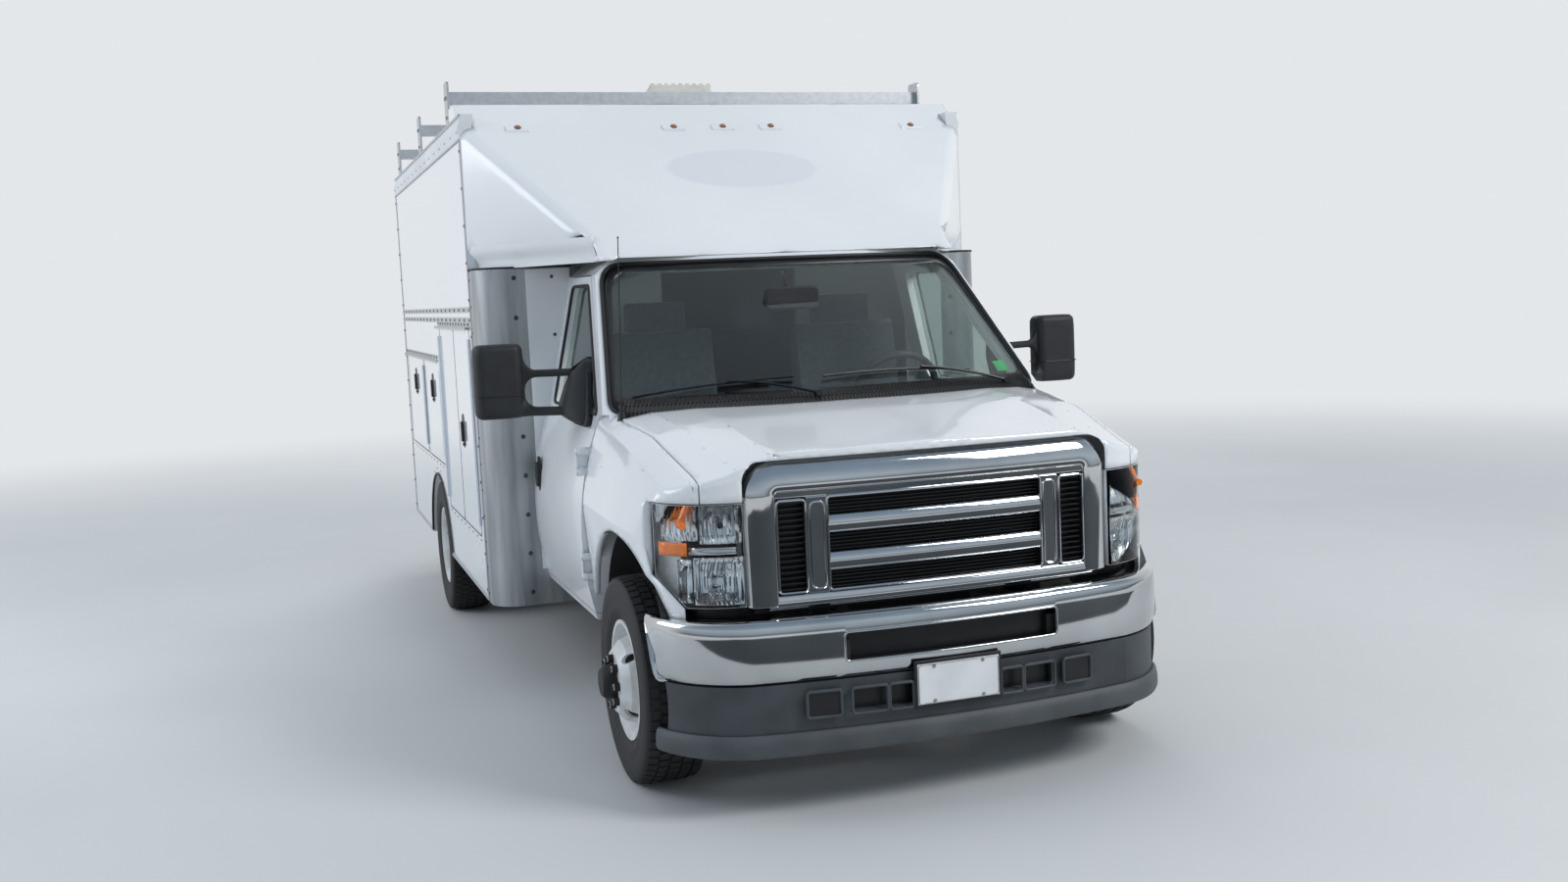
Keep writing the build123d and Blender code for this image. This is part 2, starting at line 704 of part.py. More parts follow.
grille_zone = along_y([(x * 1.009, z + (6 if z > 900 else -6)) for x, z in grille_outline],
                      -800, -400, 70)


def lamp_outline(grow):
    """The headlamp seen from the front, grown outward."""
    return [(grille_half + 8 - grow, lamp_low_z - grow), (852 + grow, lamp_low_z - grow),
            (926 + grow, 800), (960 + grow, lamp_top_z + grow),
            (grille_half + 8 - grow, lamp_top_z + grow)]


def bumper_plan(grow, z0, z1):
    """A slab with the bumper's plan, its front in three arcs."""
    face_y = bumper_face_y - grow
    turn = (690, bumper_face_y + 62 - grow)
    mid = (870 + grow * 0.7, bumper_face_y + 180 - grow * 0.7)
    end = (bumper_end_x + grow, bumper_end_y)
    with BuildSketch(Plane.XY) as sketch:
        with BuildLine():
            ThreePointArc((-turn[0], turn[1]), (0, face_y), turn)
            ThreePointArc(turn, mid, end)
            Line(end, (-end[0], end[1]))
            ThreePointArc((-end[0], end[1]), (-mid[0], mid[1]), (-turn[0], turn[1]))
        make_face()
    return Pos(0, 0, z0) * extrude(sketch.face(), z1 - z0)


lamp_zone = along_y([(grille_half + 4, lamp_low_z - 300), (1200, lamp_low_z - 300),
                     (1200, lamp_top_z + 5), (grille_half + 4, lamp_top_z + 5)], -800, -330)

hood = (clip_shell & hood_blank) - screen_cylinder(-cowl_depth - 6) - grille_zone
hood = hood - lamp_zone - across(lamp_zone)
hood -= block(-1000, 1000, -800, 600, 0, lamp_top_z + 5)
hood_pin = (262.0, 1284.0)
hood_leaf_x = (735.0, 755.0)
hood_leaf = block(*hood_leaf_x, 180, hood_pin[0], hood_pin[1] - 24, hood_pin[1] - 6)
hood_leaf += rod_x(6, *hood_leaf_x, *hood_pin) + block(*hood_leaf_x, hood_pin[0] - 12, hood_pin[0],
                                                       hood_pin[1] - 12, hood_pin[1])
nodes["hood"] = hood + hood_leaf + across(hood_leaf)
fender_shell = clip_shell - hood_hole - arch_relief - cowl_arc
fender_side = fender_shell & block(620, 1100, -800, 600, 300, 1500)
lamp_cut = along_y(lamp_outline(5), -800, -300) + block(500, grille_half + 30, -800, -330,
                                                         300, lamp_top_z + 5)
fender_left = fender_side - lamp_cut - block(500, 858, -800, -250, 300, lamp_low_z + 3)
fender_left -= block(500, 1100, cab_front_y - seat_gap, 600, fender_room_top_z - seat_gap, 1400)
fender_left -= bumper_plan(seat_gap, 300, bumper_top_z + seat_gap)
fender_left = fender_left.solids().sort_by(lambda s: s.volume)[-1]
for inner_x, z0, z1 in hinge_links:
    fender_left += rod_z(knuckle_radius, z0, z1, hinge_x, hinge_y)
    fender_left += block(inner_x, hinge_x, hinge_y - 16, hinge_y - 1, z0, z1)
    fender_left += block(hinge_x - 5, hinge_x, hinge_y - 16, hinge_y, z0, z1)
nodes["fenders"] = both(fender_left)

lamp_shell = clip_mass(0) - nose_plan(-70, 100, 1600)
headlamp_left = lamp_shell & along_y(lamp_outline(0), -800, -340)
headlamp_left = headlamp_left.solids().sort_by(lambda s: s.volume)[-1]
nodes["headlamps"] = both(headlamp_left)

# Grille: chrome surround with its bars, and the dark panel behind it
surround = (nose_plan(16, 600, 1300) - nose_plan(-40, 500, 1400)) & along_y(
    grille_outline, -800, -400, 66)
opening = [(-grille_open_half, grille_open_z[0]), (grille_open_half, grille_open_z[0]),
           (grille_open_half, grille_open_z[1]), (-grille_open_half, grille_open_z[1])]
surround -= along_y(opening, -900, -300, 10)
nostril = along_y([(nostril_x[0], nostril_z[0]), (nostril_x[1], nostril_z[0]),
                   (nostril_x[1], nostril_z[1]), (nostril_x[0], nostril_z[1])], -900, -300, 12)
surround = surround - nostril - across(nostril)
bar_shell = nose_plan(8, 600, 1300) - nose_plan(-26, 500, 1400)
gap = (grille_open_z[1] - grille_open_z[0] - grille_bars * grille_bar_height) / (grille_bars + 1)
for count in range(grille_bars):
    low = grille_open_z[0] + gap * (count + 1) + grille_bar_height * count
    surround += bar_shell & block(-grille_open_half - 4, grille_open_half + 4, -900, -300,
                                  low, low + grille_bar_height)
nodes["grille_surround"] = surround

backing = (nose_plan(-40 - seat_gap, 600, 1300) - nose_plan(-70, 500, 1400)) & block(
    -grille_half + 20, grille_half - 20, -800, -300, grille_low_z, grille_top_z - 110)
nodes["grille_backing"] = backing

# Radiator support: a curved panel behind the lamps and grille, standing on the rails
support_top_z = 1020.0
support = (nose_plan(-70 - seat_gap, 500, 1300) - nose_plan(-94, 400, 1400)) & block(
    -900, 900, -800, -350, grille_low_z - 40, support_top_z)
support = support & clip_mass(clip_wall + seat_gap)
support = support.solids().sort_by(lambda s: s.volume)[-1]
for leg_x in (-rail_outer_x + 30, rail_outer_x - 30):
    support += block(leg_x - 28, leg_x + 28, -490, -450, rail_low_z + rail_height + seat_gap,
                     grille_low_z)
nodes["radiator_support"] = support


def slot_cut(half, z0, z1):
    return along_y([(-half, z0), (half, z0), (half, z1), (-half, z1)], -900, -400, 9)


# Front bumper: pressed steel with a slot in the middle, over a plastic valance
tyre_sweep = rod_x(tyre_radius + wheel_clearance, -1200, 1200, 0, axle_z)
bumper = bumper_plan(0, bumper_low_z, bumper_top_z)
bumper -= bumper_plan(-bumper_wall, bumper_low_z - 5, bumper_top_z + 5)
flange = bumper_plan(-2, bumper_top_z - 8, bumper_top_z) - bumper_plan(-bumper_flange, 600, 700)
bumper = (bumper + flange) - slot_cut(bumper_slot_half, *bumper_slot_z) - tyre_sweep
for hole_x in (-plate_hole_x, plate_hole_x):
    bumper -= rod_y(plate_hole_radius, bumper_face_y - 5, bumper_face_y + 30, hole_x, plate_hole_z)
bumper_arm = block(rail_outer_x - 60, rail_outer_x - 12, bumper_face_y + 30,
                   rail_front_y - seat_gap, 470, 580)
nodes["front_bumper"] = bumper + bumper_arm + across(bumper_arm)

valance = bumper_plan(-8, valance_low_z, bumper_low_z - seat_gap)
valance -= bumper_plan(-30, valance_low_z - 5, bumper_low_z + 5)
nodes["front_valance"] = valance - slot_cut(370, 345, 415) - tyre_sweep


# Cowl: black panel between hood and screen
cowl_low_z = 1282.0
cowl = screen_cylinder(-cowl_depth) & block(
    -cowl_half + seat_gap, cowl_half - seat_gap, -300, 700, 1240, cowl_low_z)
for step in range(6):
    low = cowl_low_z + step * (cowl_top_z - cowl_low_z) / 6
    depth = cowl_depth * (1 - (step + 1) / 8)
    cowl += screen_cylinder(-depth) & block(
        -cowl_half + seat_gap, cowl_half - seat_gap, -300, 700, low - 0.5,
        low + (cowl_top_z - cowl_low_z) / 6)
hinge_notch = block(hood_leaf_x[0] - 0.5, hood_leaf_x[1] + 0.5, 100, hood_pin[0] + 12,
                    hood_pin[1] - 34, cowl_top_z + 5)
cowl = cowl - screen_cylinder(-seat_gap) - hinge_notch - across(hinge_notch)
antenna = rod_z(14, 1225, 1290, -905, 300) - clip_mass(-seat_gap) + rod_z(3, 1288, 1960, -905, 300)
nodes["cowl_panel"] = Compound(children=[cowl, antenna])

# Inside the cab
cover_low_z = cab_floor_z + seat_gap
cover_front_y = cab_front_y + 50 + seat_gap
dash = along_x([(cover_front_y, 1000), (cover_front_y, 1225), (470, 1258), (640, 1236),
                (690, 1150), (640, 1010)],
               -850, 850, 18)
dash = dash & cab_prism(cab_wall + 10, 300, 1400) & screen_cylinder(60)
dash -= block(-300, 300, 200, 900, 900, 1064)
wheel_x, wheel_y, wheel_z = 440.0, 770.0, 1265.0
wheel_tilt = 62.0
steering = Torus(188, 15) + Cylinder(48, 26) + Box(360, 34, 14) + Pos(0, 0, -110) * Cylinder(24, 210)
steering = Pos(wheel_x, wheel_y, wheel_z) * Rot(-wheel_tilt, 0, 0) * steering
steering = steering - dash - Pos(0, seat_gap, seat_gap) * dash
nodes["steering_wheel"] = steering.solids().sort_by(lambda s: s.volume)[-1]


def seat(x):
    base = along_x([(862, 900), (1300, 900), (1300, 1020), (862, 1050)], x - 250, x + 250, 30)
    back = along_x([(1225, 1022), (1345, 1022), (1420, 1560), (1330, 1570)], x - 240, x + 240, 28)
    head = along_x([(1340, 1530), (1420, 1522), (1428, 1690), (1350, 1696)], x - 130, x + 130, 25)
    box = block(x - 200, x + 200, 880, 1260, cab_floor_z + 0.3, 900)
    return base + back + head + box


nodes["seats"] = Compound(children=list(seat(wheel_x).solids()) + list(seat(-wheel_x).solids()))
cover = along_x([(cover_front_y, cover_low_z), (cover_front_y, 1060), (640, 1045), (770, 920),
                 (815, cover_low_z)], -290, 290)
cover -= along_x([(cover_front_y - 10, cover_low_z - 5), (cover_front_y - 10, 1040), (632, 1027),
                  (756, 905), (795, cover_low_z - 5)], -268, 268)
nodes["dashboard"] = Compound(children=list(dash.solids()) + [cover])


# Nose cap: leaning face, raked corners and a neck down to the cab's roof
cap_rise = (cap_top_y - cap_foot_y) / (cap_top_z - cap_ledge_z)


def cap_mass(inset, low, high):
    plan = [(-box_half + inset, cap_back_y - inset), (-box_half + inset, box_front_y + inset * 0.6),
            (-cap_foot_x + inset * 0.7, cap_foot_y + inset),
            (cap_foot_x - inset * 0.7, cap_foot_y + inset),
            (box_half - inset, box_front_y + inset * 0.6), (box_half - inset, cap_back_y - inset)]
    body = along_z(plan, low, high)
    lean = inset * math.hypot(1, cap_rise)
    side = [(cap_foot_y + lean, low - 10), (cap_foot_y + lean, cap_ledge_z),
            (cap_top_y + lean, cap_top_z), (cap_top_y + lean, cap_top_z + 50),
            (3000, cap_top_z + 50), (3000, low - 10)]
    return body & along_x(side, -1500, 1500)


cap_upper = cap_mass(0, cap_ledge_z, cap_top_z)
front_edges = cap_upper.edges().filter_by(
    lambda e: e.center().Y < box_front_y + 40 and e.center().Z > cap_ledge_z + 20)
cap_upper = fillet(front_edges, 70)
cap_hollow = cap_mass(cap_wall, cap_ledge_z - 200, cap_top_z - cap_wall)
lip_half = cap_foot_x - 12
lip = along_x([(cap_foot_y, cap_ledge_z + 2), (cap_foot_y - cap_rise * (cap_ledge_z - cap_low_z), cap_low_z),
               (box_front_y - 60, cap_low_z), (box_front_y - 60, cap_ledge_z + 2)], -lip_half, lip_half)
lip = fillet(lip.edges().filter_by(lambda e: e.center().Y < 950 and abs(e.center().X) > lip_half - 1), 40)
lip -= along_x([(cap_foot_y + 30, cap_ledge_z + 40), (cap_foot_y - 74, cap_low_z + 6 - 40),
                (box_front_y - 84, cap_low_z - 40), (box_front_y - 84, cap_ledge_z + 40)],
               -lip_half + 24, lip_half - 24)
neck = cap_mass(cap_neck_inset, cap_low_z, cap_ledge_z + 1)
neck_hollow = cap_mass(cap_neck_inset + cap_wall, cap_low_z - 50, cap_ledge_z + 10)
nose_cap = cap_upper + neck + lip - cap_hollow - neck_hollow
neck_floor = cap_mass(cap_neck_inset, cap_low_z, cap_low_z + 12)
nose_cap += neck_floor - block(-780, 780, 0, 3000, cap_low_z - 5, cap_low_z + 20)
box_cover = block(-box_half - 5, box_half + 5, box_front_y - seat_gap, 4000, 1500,
                  box_side_top_z + seat_gap)
rail_cover = block(side_inner_x - 30 - seat_gap, box_half + 12, box_front_y - seat_gap, 4000, 2400,
                   box_top_z + seat_gap)
box_cover = box_cover + rail_cover + across(rail_cover)
nose_cap -= box_cover
nose_cap -= cab_prism(-seat_gap, cab_front_y, box_front_y)
nodes["nose_cap"] = nose_cap.solids().sort_by(lambda s: s.volume)[-1]

marker_lamps = []
cap_normal = math.degrees(math.atan(cap_rise))
for lamp_x in marker_lamps_x:
    lamp_y = cap_foot_y + cap_rise * (marker_lamp_z - cap_ledge_z)
    lamp = Rot(-cap_normal, 0, 0) * Pos(0, -7 - seat_gap, 0) * Box(62, 14, 30)
    marker_lamps.append(Pos(lamp_x, lamp_y, marker_lamp_z) * lamp)
nodes["marker_lamps"] = Compound(children=marker_lamps)


# Service body: sides with their lockers, floor, roof and rear frame
side_doors = [
    # name, front station, rear station, low, high, hinge at the front
    ("locker_door_1", 1782.0, 2376.0, 664.0, 1612.0, True),
    ("locker_door_2", 2376.0 + panel_gap, 2978.0, 664.0, 1612.0, False),
    ("locker_door_3", 3052.0, 3886.0, 871.0, 1428.0, True),
    ("locker_door_4", 3942.0, 4890.0, 871.0, 1428.0, True),
]
lockers = [
    # front station, rear station, low, high
    (1782.0, 2978.0, 664.0, 1612.0),
    (3052.0, 3886.0, 871.0, 1428.0),
    (3942.0, 4890.0, 871.0, 1428.0),
]
door_skin = 30.0


wheel_house_half = 445.0
wheel_house_x = 650.0
floor_half = box_half - locker_depth - seat_gap


def box_side():
    wall = block(side_inner_x, box_half, box_front_y, box_rear_y, box_skirt_z, box_side_top_z)
    shelf_y = side_doors[1][2] + 30
    wall += block(box_half - locker_depth, side_inner_x + 1, shelf_y, box_rear_y - box_wall - seat_gap,
                  box_floor_z - box_floor_thickness, box_floor_z)
    house_y = (wheelbase - wheel_house_half, wheelbase + wheel_house_half)
    house_top = lockers[1][2] - 30
    wall += block(wheel_house_x, side_inner_x + 1, *house_y, box_floor_z - box_floor_thickness,
                  house_top)
    hollow = block(wheel_house_x + 15, side_inner_x + 2, house_y[0] + 15, house_y[1] - 15,
                   box_floor_z - box_floor_thickness - 5, house_top - 15)
    for front, rear, low, high in lockers:
        wall -= block(side_inner_x - 5, box_half + 5, front - panel_gap, rear + panel_gap,
                      low - panel_gap, high + panel_gap)
        outer = block(box_half - locker_depth, side_inner_x + 1, front - 30, rear + 30,
                      low - 30, high + 30)
        inner = block(box_half - locker_depth + locker_wall, side_inner_x + 5,
                      front - 18, rear + 18, low - 18, high + 18)
        wall = wall + outer - inner
    return wall - hollow - rod_x(rear_arch_radius, 1000, 1400, wheelbase, rear_arch_centre_z)


nodes["box_side_left"] = box_side()
nodes["box_side_right"] = across(box_side())

hinge_radius = 6.5
hinge_axis_x = box_half + hinge_radius + seat_gap


def door_hinge(edge_y, into_door, low, high):
    """A long hinge: its barrel lies against the wall beside the gap, its leaf on the door."""
    pin_y = edge_y - into_door * (panel_gap + 1.5)
    barrel = rod_z(hinge_radius, low + 45, high - 45, hinge_axis_x, pin_y)
    y0, y1 = sorted((edge_y, edge_y + into_door * 34))
    plate = block(box_half - 1, box_half + 4, y0, y1, low + 45, high - 45)
    y0, y1 = sorted((pin_y, edge_y + into_door * 10))
    strap = block(box_half + seat_gap, box_half + 4, y0, y1, low + 45, high - 45)
    return barrel + plate + strap


for name, front, rear, low, high, front_hinge in side_doors:
    leaf = block(box_half - door_skin, box_half, front, rear, low, high)
    leaf = fillet(leaf.edges().filter_by(Axis.X), 25)
    leaf += door_hinge(front if front_hinge else rear, 1 if front_hinge else -1, low, high)
    nodes[name + "_left"] = leaf
    nodes[name + "_right"] = across(leaf)

rail_profile_top = [(side_inner_x - 20, box_side_top_z), (box_half + 2, box_side_top_z),
                    (box_half + 8, box_side_top_z + 60), (box_half - 10, box_top_z),
                    (side_inner_x - 30, box_top_z)]
top_rail = along_y(rail_profile_top, box_front_y, box_rear_y)
roof_edge_z = box_top_z - 8


def roof_section(thickness):
    with BuildSketch(Plane.XY) as sketch:
        with BuildLine():
            low = roof_edge_z - thickness
            ThreePointArc((-roof_edge_x, roof_edge_z), (0, roof_edge_z + roof_crown),
                          (roof_edge_x, roof_edge_z))
            Line((roof_edge_x, roof_edge_z), (roof_edge_x, low))
            ThreePointArc((roof_edge_x, low), (0, low + roof_crown), (-roof_edge_x, low))
            Line((-roof_edge_x, low), (-roof_edge_x, roof_edge_z))
        make_face()
    return sketch.face()


roof_plane = Plane((0, cap_back_y + seat_gap, 0), x_dir=(1, 0, 0), z_dir=(0, -1, 0))
roof_panel = extrude(roof_plane * roof_section(30), -(box_rear_y - cap_back_y - seat_gap))
vent_y = (2340.0, 2700.0)
vent_half = 178.0
vent_pin_z = 2634.0
vent_hole = block(-vent_half, vent_half, vent_y[0], vent_y[1], 2400, 2700)
roof = roof_panel - vent_hole

floor_low_z = box_floor_z - box_floor_thickness
floor = block(-floor_half, floor_half, cab_rear_y + 10, box_rear_y - box_wall - seat_gap,
              floor_low_z, box_floor_z)
house_cut = block(wheel_house_x - seat_gap, 900, wheelbase - wheel_house_half - seat_gap,
                  wheelbase + wheel_house_half + seat_gap, floor_low_z - 60, box_floor_z + 5)
for station in range(8):
    y = cab_rear_y + 200 + station * 430
    rail_top = (rail_high_z if y > rail_step_y[1] else rail_low_z) + rail_height
    if rail_step_y[0] - 60 < y < rail_step_y[1]:
        continue
    floor += block(-floor_half + 40, floor_half - 40, y, y + 60, rail_top + seat_gap,
                   floor_low_z + 1)
nodes["box_floor"] = floor - house_cut - across(house_cut)



def cross_wall(y0, y1, top_z):
    """A wall across the body between its sides, up to top_z or the roof's underside."""
    wall = block(-side_inner_x + seat_gap, side_inner_x - seat_gap, y0, y1, floor_low_z, top_z)
    wall -= block(-floor_half - seat_gap, floor_half + seat_gap, y0 - 5, y1 + 5, floor_low_z - 5,
                  box_floor_z + seat_gap)
    wall -= Pos(0, 0, -seat_gap) * roof_panel
    rail_space = block(roof_edge_x - 20, box_half, y0 - 5, y1 + 5, box_side_top_z - seat_gap, 2600)
    wall = wall - rail_space - across(rail_space)
    return wall.solids().sort_by(lambda s: s.volume)[-1]


rear_frame = cross_wall(box_rear_y - box_wall, box_rear_y, roof_edge_z)
rear_frame -= block(-rear_door_half - panel_gap, rear_door_half + panel_gap, box_rear_y - 100,
                    box_rear_y + 10, rear_door_low_z - panel_gap, rear_door_top_z + panel_gap)
nodes["rear_frame"] = rear_frame
rear_door = block(panel_gap / 2, rear_door_half, box_rear_y - rear_door_thickness, box_rear_y,
                  rear_door_low_z, rear_door_top_z)
rear_pin_x = rear_door_half + panel_gap + 1.5
rear_barrel = rod_z(hinge_radius, rear_door_low_z + 60, rear_door_top_z - 60,
                    rear_pin_x, box_rear_y + hinge_radius + seat_gap)
rear_strap = block(rear_door_half - 40, rear_pin_x, box_rear_y + seat_gap,
                   box_rear_y + 4, rear_door_low_z + 60, rear_door_top_z - 60)
rear_pad = block(rear_door_half - 40, rear_door_half - 2, box_rear_y - 1, box_rear_y + 4,
                 rear_door_low_z + 60, rear_door_top_z - 60)
rear_door = rear_door + rear_barrel + rear_strap + rear_pad
nodes["rear_door_left"] = rear_door
nodes["rear_door_right"] = across(rear_door)

step = block(-bumper_rear_half, bumper_rear_half, box_rear_y + 0.5, rear_reach, 470, 560)
for arm_x in (-400.0, 400.0):
    step += block(arm_x - 30, arm_x + 30, box_rear_y - 30 + seat_gap, box_rear_y + 10, 520, 640)
nodes["rear_bumper"] = step

tail = block(930, 1080, box_rear_y + 0.3, box_rear_y + 38, 820, 1120)
nodes["tail_lamps"] = both(tail)

# Front corner wings of bright sheet, from the cab's side round to the body's side


def wing_plan(inset):
    """Plan outline of the wing's outer face, set in by inset."""
    front_y, side_x = cab_rear_y + seat_gap + inset, box_half - inset
    bend = (wing_bend_x + 0.72 * (side_x - wing_bend_x), front_y + 0.28 * (wing_bend_y - front_y))
    with BuildSketch(Plane.XY) as sketch:
        with BuildLine():
            Line((700, front_y), (wing_bend_x, front_y))
            ThreePointArc((wing_bend_x, front_y), bend, (side_x, wing_bend_y))
            Polyline((side_x, wing_bend_y), (side_x, box_front_y - seat_gap + inset),
                     (700, box_front_y - seat_gap + inset), (700, front_y))
        make_face()
    return Pos(0, 0, box_skirt_z) * extrude(sketch.face(), cap_low_z - seat_gap - box_skirt_z)


wing = wing_plan(0) - wing_plan(wing_thickness)
wing -= block(600, 790, 1400, 1800, 0, 2500)
wing -= cab_prism(cab_wall, cab_rear_y - 50, cab_rear_y + 100)
wing -= block(600, floor_half - 40, 1400, 1800, 0, box_floor_z + seat_gap)
wing = wing.solids().sort_by(lambda s: s.volume)[-1]
nodes["corner_wings"] = both(wing)

# Bulkhead between cab and body, with its doorway
bulkhead = cross_wall(box_front_y + seat_gap, box_front_y + 30, box_side_top_z - seat_gap)
bulkhead -= block(-330, 330, box_front_y - 50, box_front_y + 80, box_floor_z + 60, 2100)
nodes["bulkhead"] = bulkhead

# Roof rack cross-bars on the top rails
rack_low_z, rack_top_z, rack_plate_z = 2660.0, 2718.0, 2764.0
rack_bars = []
for station in (2110.0, 3400.0, 4690.0):
    bar = block(-box_half + 14, box_half - 14, station, station + 45, rack_low_z, rack_top_z)
    for end in (-1, 1):
        x = end * (box_half - 14)
        plate = along_x([(station - 35, box_top_z + 0.3), (station + 80, box_top_z + 0.3),
                         (station + 80, rack_plate_z), (station - 35, rack_plate_z)], x - 5, x + 5, 18)
        bar += plate
    rack_bars.append(bar)
nodes["roof_rack"] = Compound(children=[s for bar in rack_bars for s in bar.solids()])

# Roof vent: a kerb round the hole and a lid hinged at its rear edge
vent_pin_y = vent_y[1] + 42
kerb = block(-vent_half - 22, vent_half + 22, vent_y[0] - 22, vent_y[1] + 22, box_top_z + 2,
             vent_pin_z - 9)
kerb -= block(-vent_half + 5, vent_half - 5, vent_y[0] + 5, vent_y[1] - 5, 2400, 2700)
vent_lug = block(vent_half + 8.5, vent_half + 24, vent_y[1] + 10, vent_y[1] + 50, box_top_z + 2,
                 vent_pin_z + 8)
nodes["box_roof"] = roof + top_rail + across(top_rail) + kerb + vent_lug + across(vent_lug)
lid_angle = 10.0
lid = block(-vent_half - 8, vent_half + 8, vent_y[0] - 32, vent_y[1] + 32, 0, 40)
lid += rod_x(7, -vent_half - 8, vent_half + 8, vent_pin_y, 0)
lid += block(-vent_half + 20, vent_half - 20, vent_y[1] + 25, vent_pin_y, 0, 6)
lid = Pos(0, vent_pin_y, vent_pin_z) * Rot(-lid_angle, 0, 0) * Pos(0, -vent_pin_y, 0) * lid
nodes["vent_lid"] = lid

os.makedirs("parts", exist_ok=True)
place = Pos(0, front_axle_y, 0)
for name, shape in nodes.items():
    export_step(place * shape, f"parts/{name}.step")
    print(name, len(shape.solids()), "solids")
print("front axle at", round(front_axle_y, 2), "length", round(front_reach + rear_reach, 1))
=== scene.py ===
import json
import math

import bmesh
import bpy
from mathutils import Matrix, Vector
from mathutils.bvhtree import BVHTree

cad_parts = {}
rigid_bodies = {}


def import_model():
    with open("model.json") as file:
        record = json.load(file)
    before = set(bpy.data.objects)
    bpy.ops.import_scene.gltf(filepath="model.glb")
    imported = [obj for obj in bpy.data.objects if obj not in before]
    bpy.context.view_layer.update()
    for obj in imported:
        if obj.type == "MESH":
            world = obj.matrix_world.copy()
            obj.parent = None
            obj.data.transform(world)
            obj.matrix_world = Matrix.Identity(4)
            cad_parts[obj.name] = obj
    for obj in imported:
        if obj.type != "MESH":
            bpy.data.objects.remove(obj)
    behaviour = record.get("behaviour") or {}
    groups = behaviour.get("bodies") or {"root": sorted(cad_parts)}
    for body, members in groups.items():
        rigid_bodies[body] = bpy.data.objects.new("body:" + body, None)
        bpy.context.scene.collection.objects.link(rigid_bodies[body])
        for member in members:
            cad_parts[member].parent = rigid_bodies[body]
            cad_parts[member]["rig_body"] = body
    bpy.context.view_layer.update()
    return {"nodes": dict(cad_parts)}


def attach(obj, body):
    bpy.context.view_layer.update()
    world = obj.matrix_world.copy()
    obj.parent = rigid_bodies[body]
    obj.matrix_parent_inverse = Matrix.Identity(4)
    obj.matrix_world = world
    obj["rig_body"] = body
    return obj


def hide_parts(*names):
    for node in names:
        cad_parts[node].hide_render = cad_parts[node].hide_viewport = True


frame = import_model()
nodes = frame["nodes"]
scene = bpy.context.scene
scene.view_settings.view_transform = "Standard"

# New pieces are drawn in millimetres, with stations measured from the front axle
AXLE_STATION = -2.2865
TO_FRAME = Matrix.Translation((0, AXLE_STATION, 0)) @ Matrix.Scale(0.001, 4)


# Materials

def srgb(code, alpha=1.0):
    """A hex colour as Blender's linear values."""
    parts = [int(code[i:i + 2], 16) / 255 for i in (1, 3, 5)]
    return [c / 12.92 if c <= 0.04045 else ((c + 0.055) / 1.055) ** 2.4 for c in parts] + [alpha]


def add_node(material, kind, links=(), **settings):
    """Adds a shader node. A setting names a property or, in capitals, a socket."""
    node = material.node_tree.nodes.new(kind)
    for name, value in settings.items():
        label = name.replace("_", " ")
        if hasattr(node, name):
            setattr(node, name, value)
        else:
            node.inputs[label].default_value = value
    for socket, source in links:
        material.node_tree.links.new(source, node.inputs[socket])
    return node


def new_material(name, base, **surface):
    """A material with one Principled shader, returned with that shader."""
    material = bpy.data.materials.new(name)
    material.use_nodes = True
    shader = material.node_tree.nodes["Principled BSDF"]
    shader.inputs["Base Color"].default_value = srgb(base)
    for label, value in surface.items():
        shader.inputs[label.replace("_", " ")].default_value = value
    return material, shader


def connect(material, source, shader, label):
    material.node_tree.links.new(source, shader.inputs[label])


def object_noise(material, scale, detail=3.0, stretch=(1, 1, 1)):
    """Noise in the object's own coordinates, stretched along an axis."""
    place = add_node(material, "ShaderNodeTexCoord")
    mapping = add_node(material, "ShaderNodeMapping", [("Vector", place.outputs["Object"])])
    mapping.inputs["Scale"].default_value = stretch
    return add_node(material, "ShaderNodeTexNoise", [("Vector", mapping.outputs["Vector"])],
                    Scale=scale, Detail=detail).outputs["Fac"]


def blend_colours(material, factor, low, high):
    """A ramp from one colour to another along the middle of a factor's range."""
    ramp = add_node(material, "ShaderNodeValToRGB", [("Fac", factor)])
    for stop, position, colour in zip(ramp.color_ramp.elements, (0.35, 0.65), (low, high)):
        stop.position, stop.color = position, srgb(colour)
    return ramp.outputs["Color"]


def number_range(material, factor, low, high):
    return add_node(material, "ShaderNodeMapRange", [("Value", factor)],
                    To_Min=low, To_Max=high).outputs["Result"]


def bumpy(material, shader, height, strength, distance):
    bump = add_node(material, "ShaderNodeBump", [("Height", height)],
                    Strength=strength, Distance=distance)
    connect(material, bump.outputs["Normal"], shader, "Normal")


def mottled(name, slot, low, high, scale, rough, bump=0.0, grain=400.0, stretch=(1, 1, 1),
            **surface):
    """A material whose colour and gloss drift with one noise, with its grain from another."""
    material, shader = new_material(name, low, **surface)
    drift = object_noise(material, scale, 4.0, stretch)
    connect(material, blend_colours(material, drift, low, high), shader, "Base Color")
    connect(material, number_range(material, drift, *rough), shader, "Roughness")
    if bump:
        bumpy(material, shader, object_noise(material, grain, 2.0, stretch), bump, 0.001)
    return material


# Sprayed fleet enamel: bright white under a clear coat, with a little orange peel
cab_enamel = mottled("sprayed_enamel_white", "cab_paint", "#e2e4e6", "#e9ebec", 1.3, (0.16, 0.24),
                     0.05, 90.0, Coat_Weight=0.6, Coat_Roughness=0.05)
# Coil-coated aluminium sheet: glossier and faintly wavy, so reflections swim
panel_enamel = mottled("coil_coated_sheet_white", "body_paint", "#dfe3e8", "#e6e9ed", 0.9,
                       (0.07, 0.12), 0.3, 5.5, Coat_Weight=0.8, Coat_Roughness=0.03)
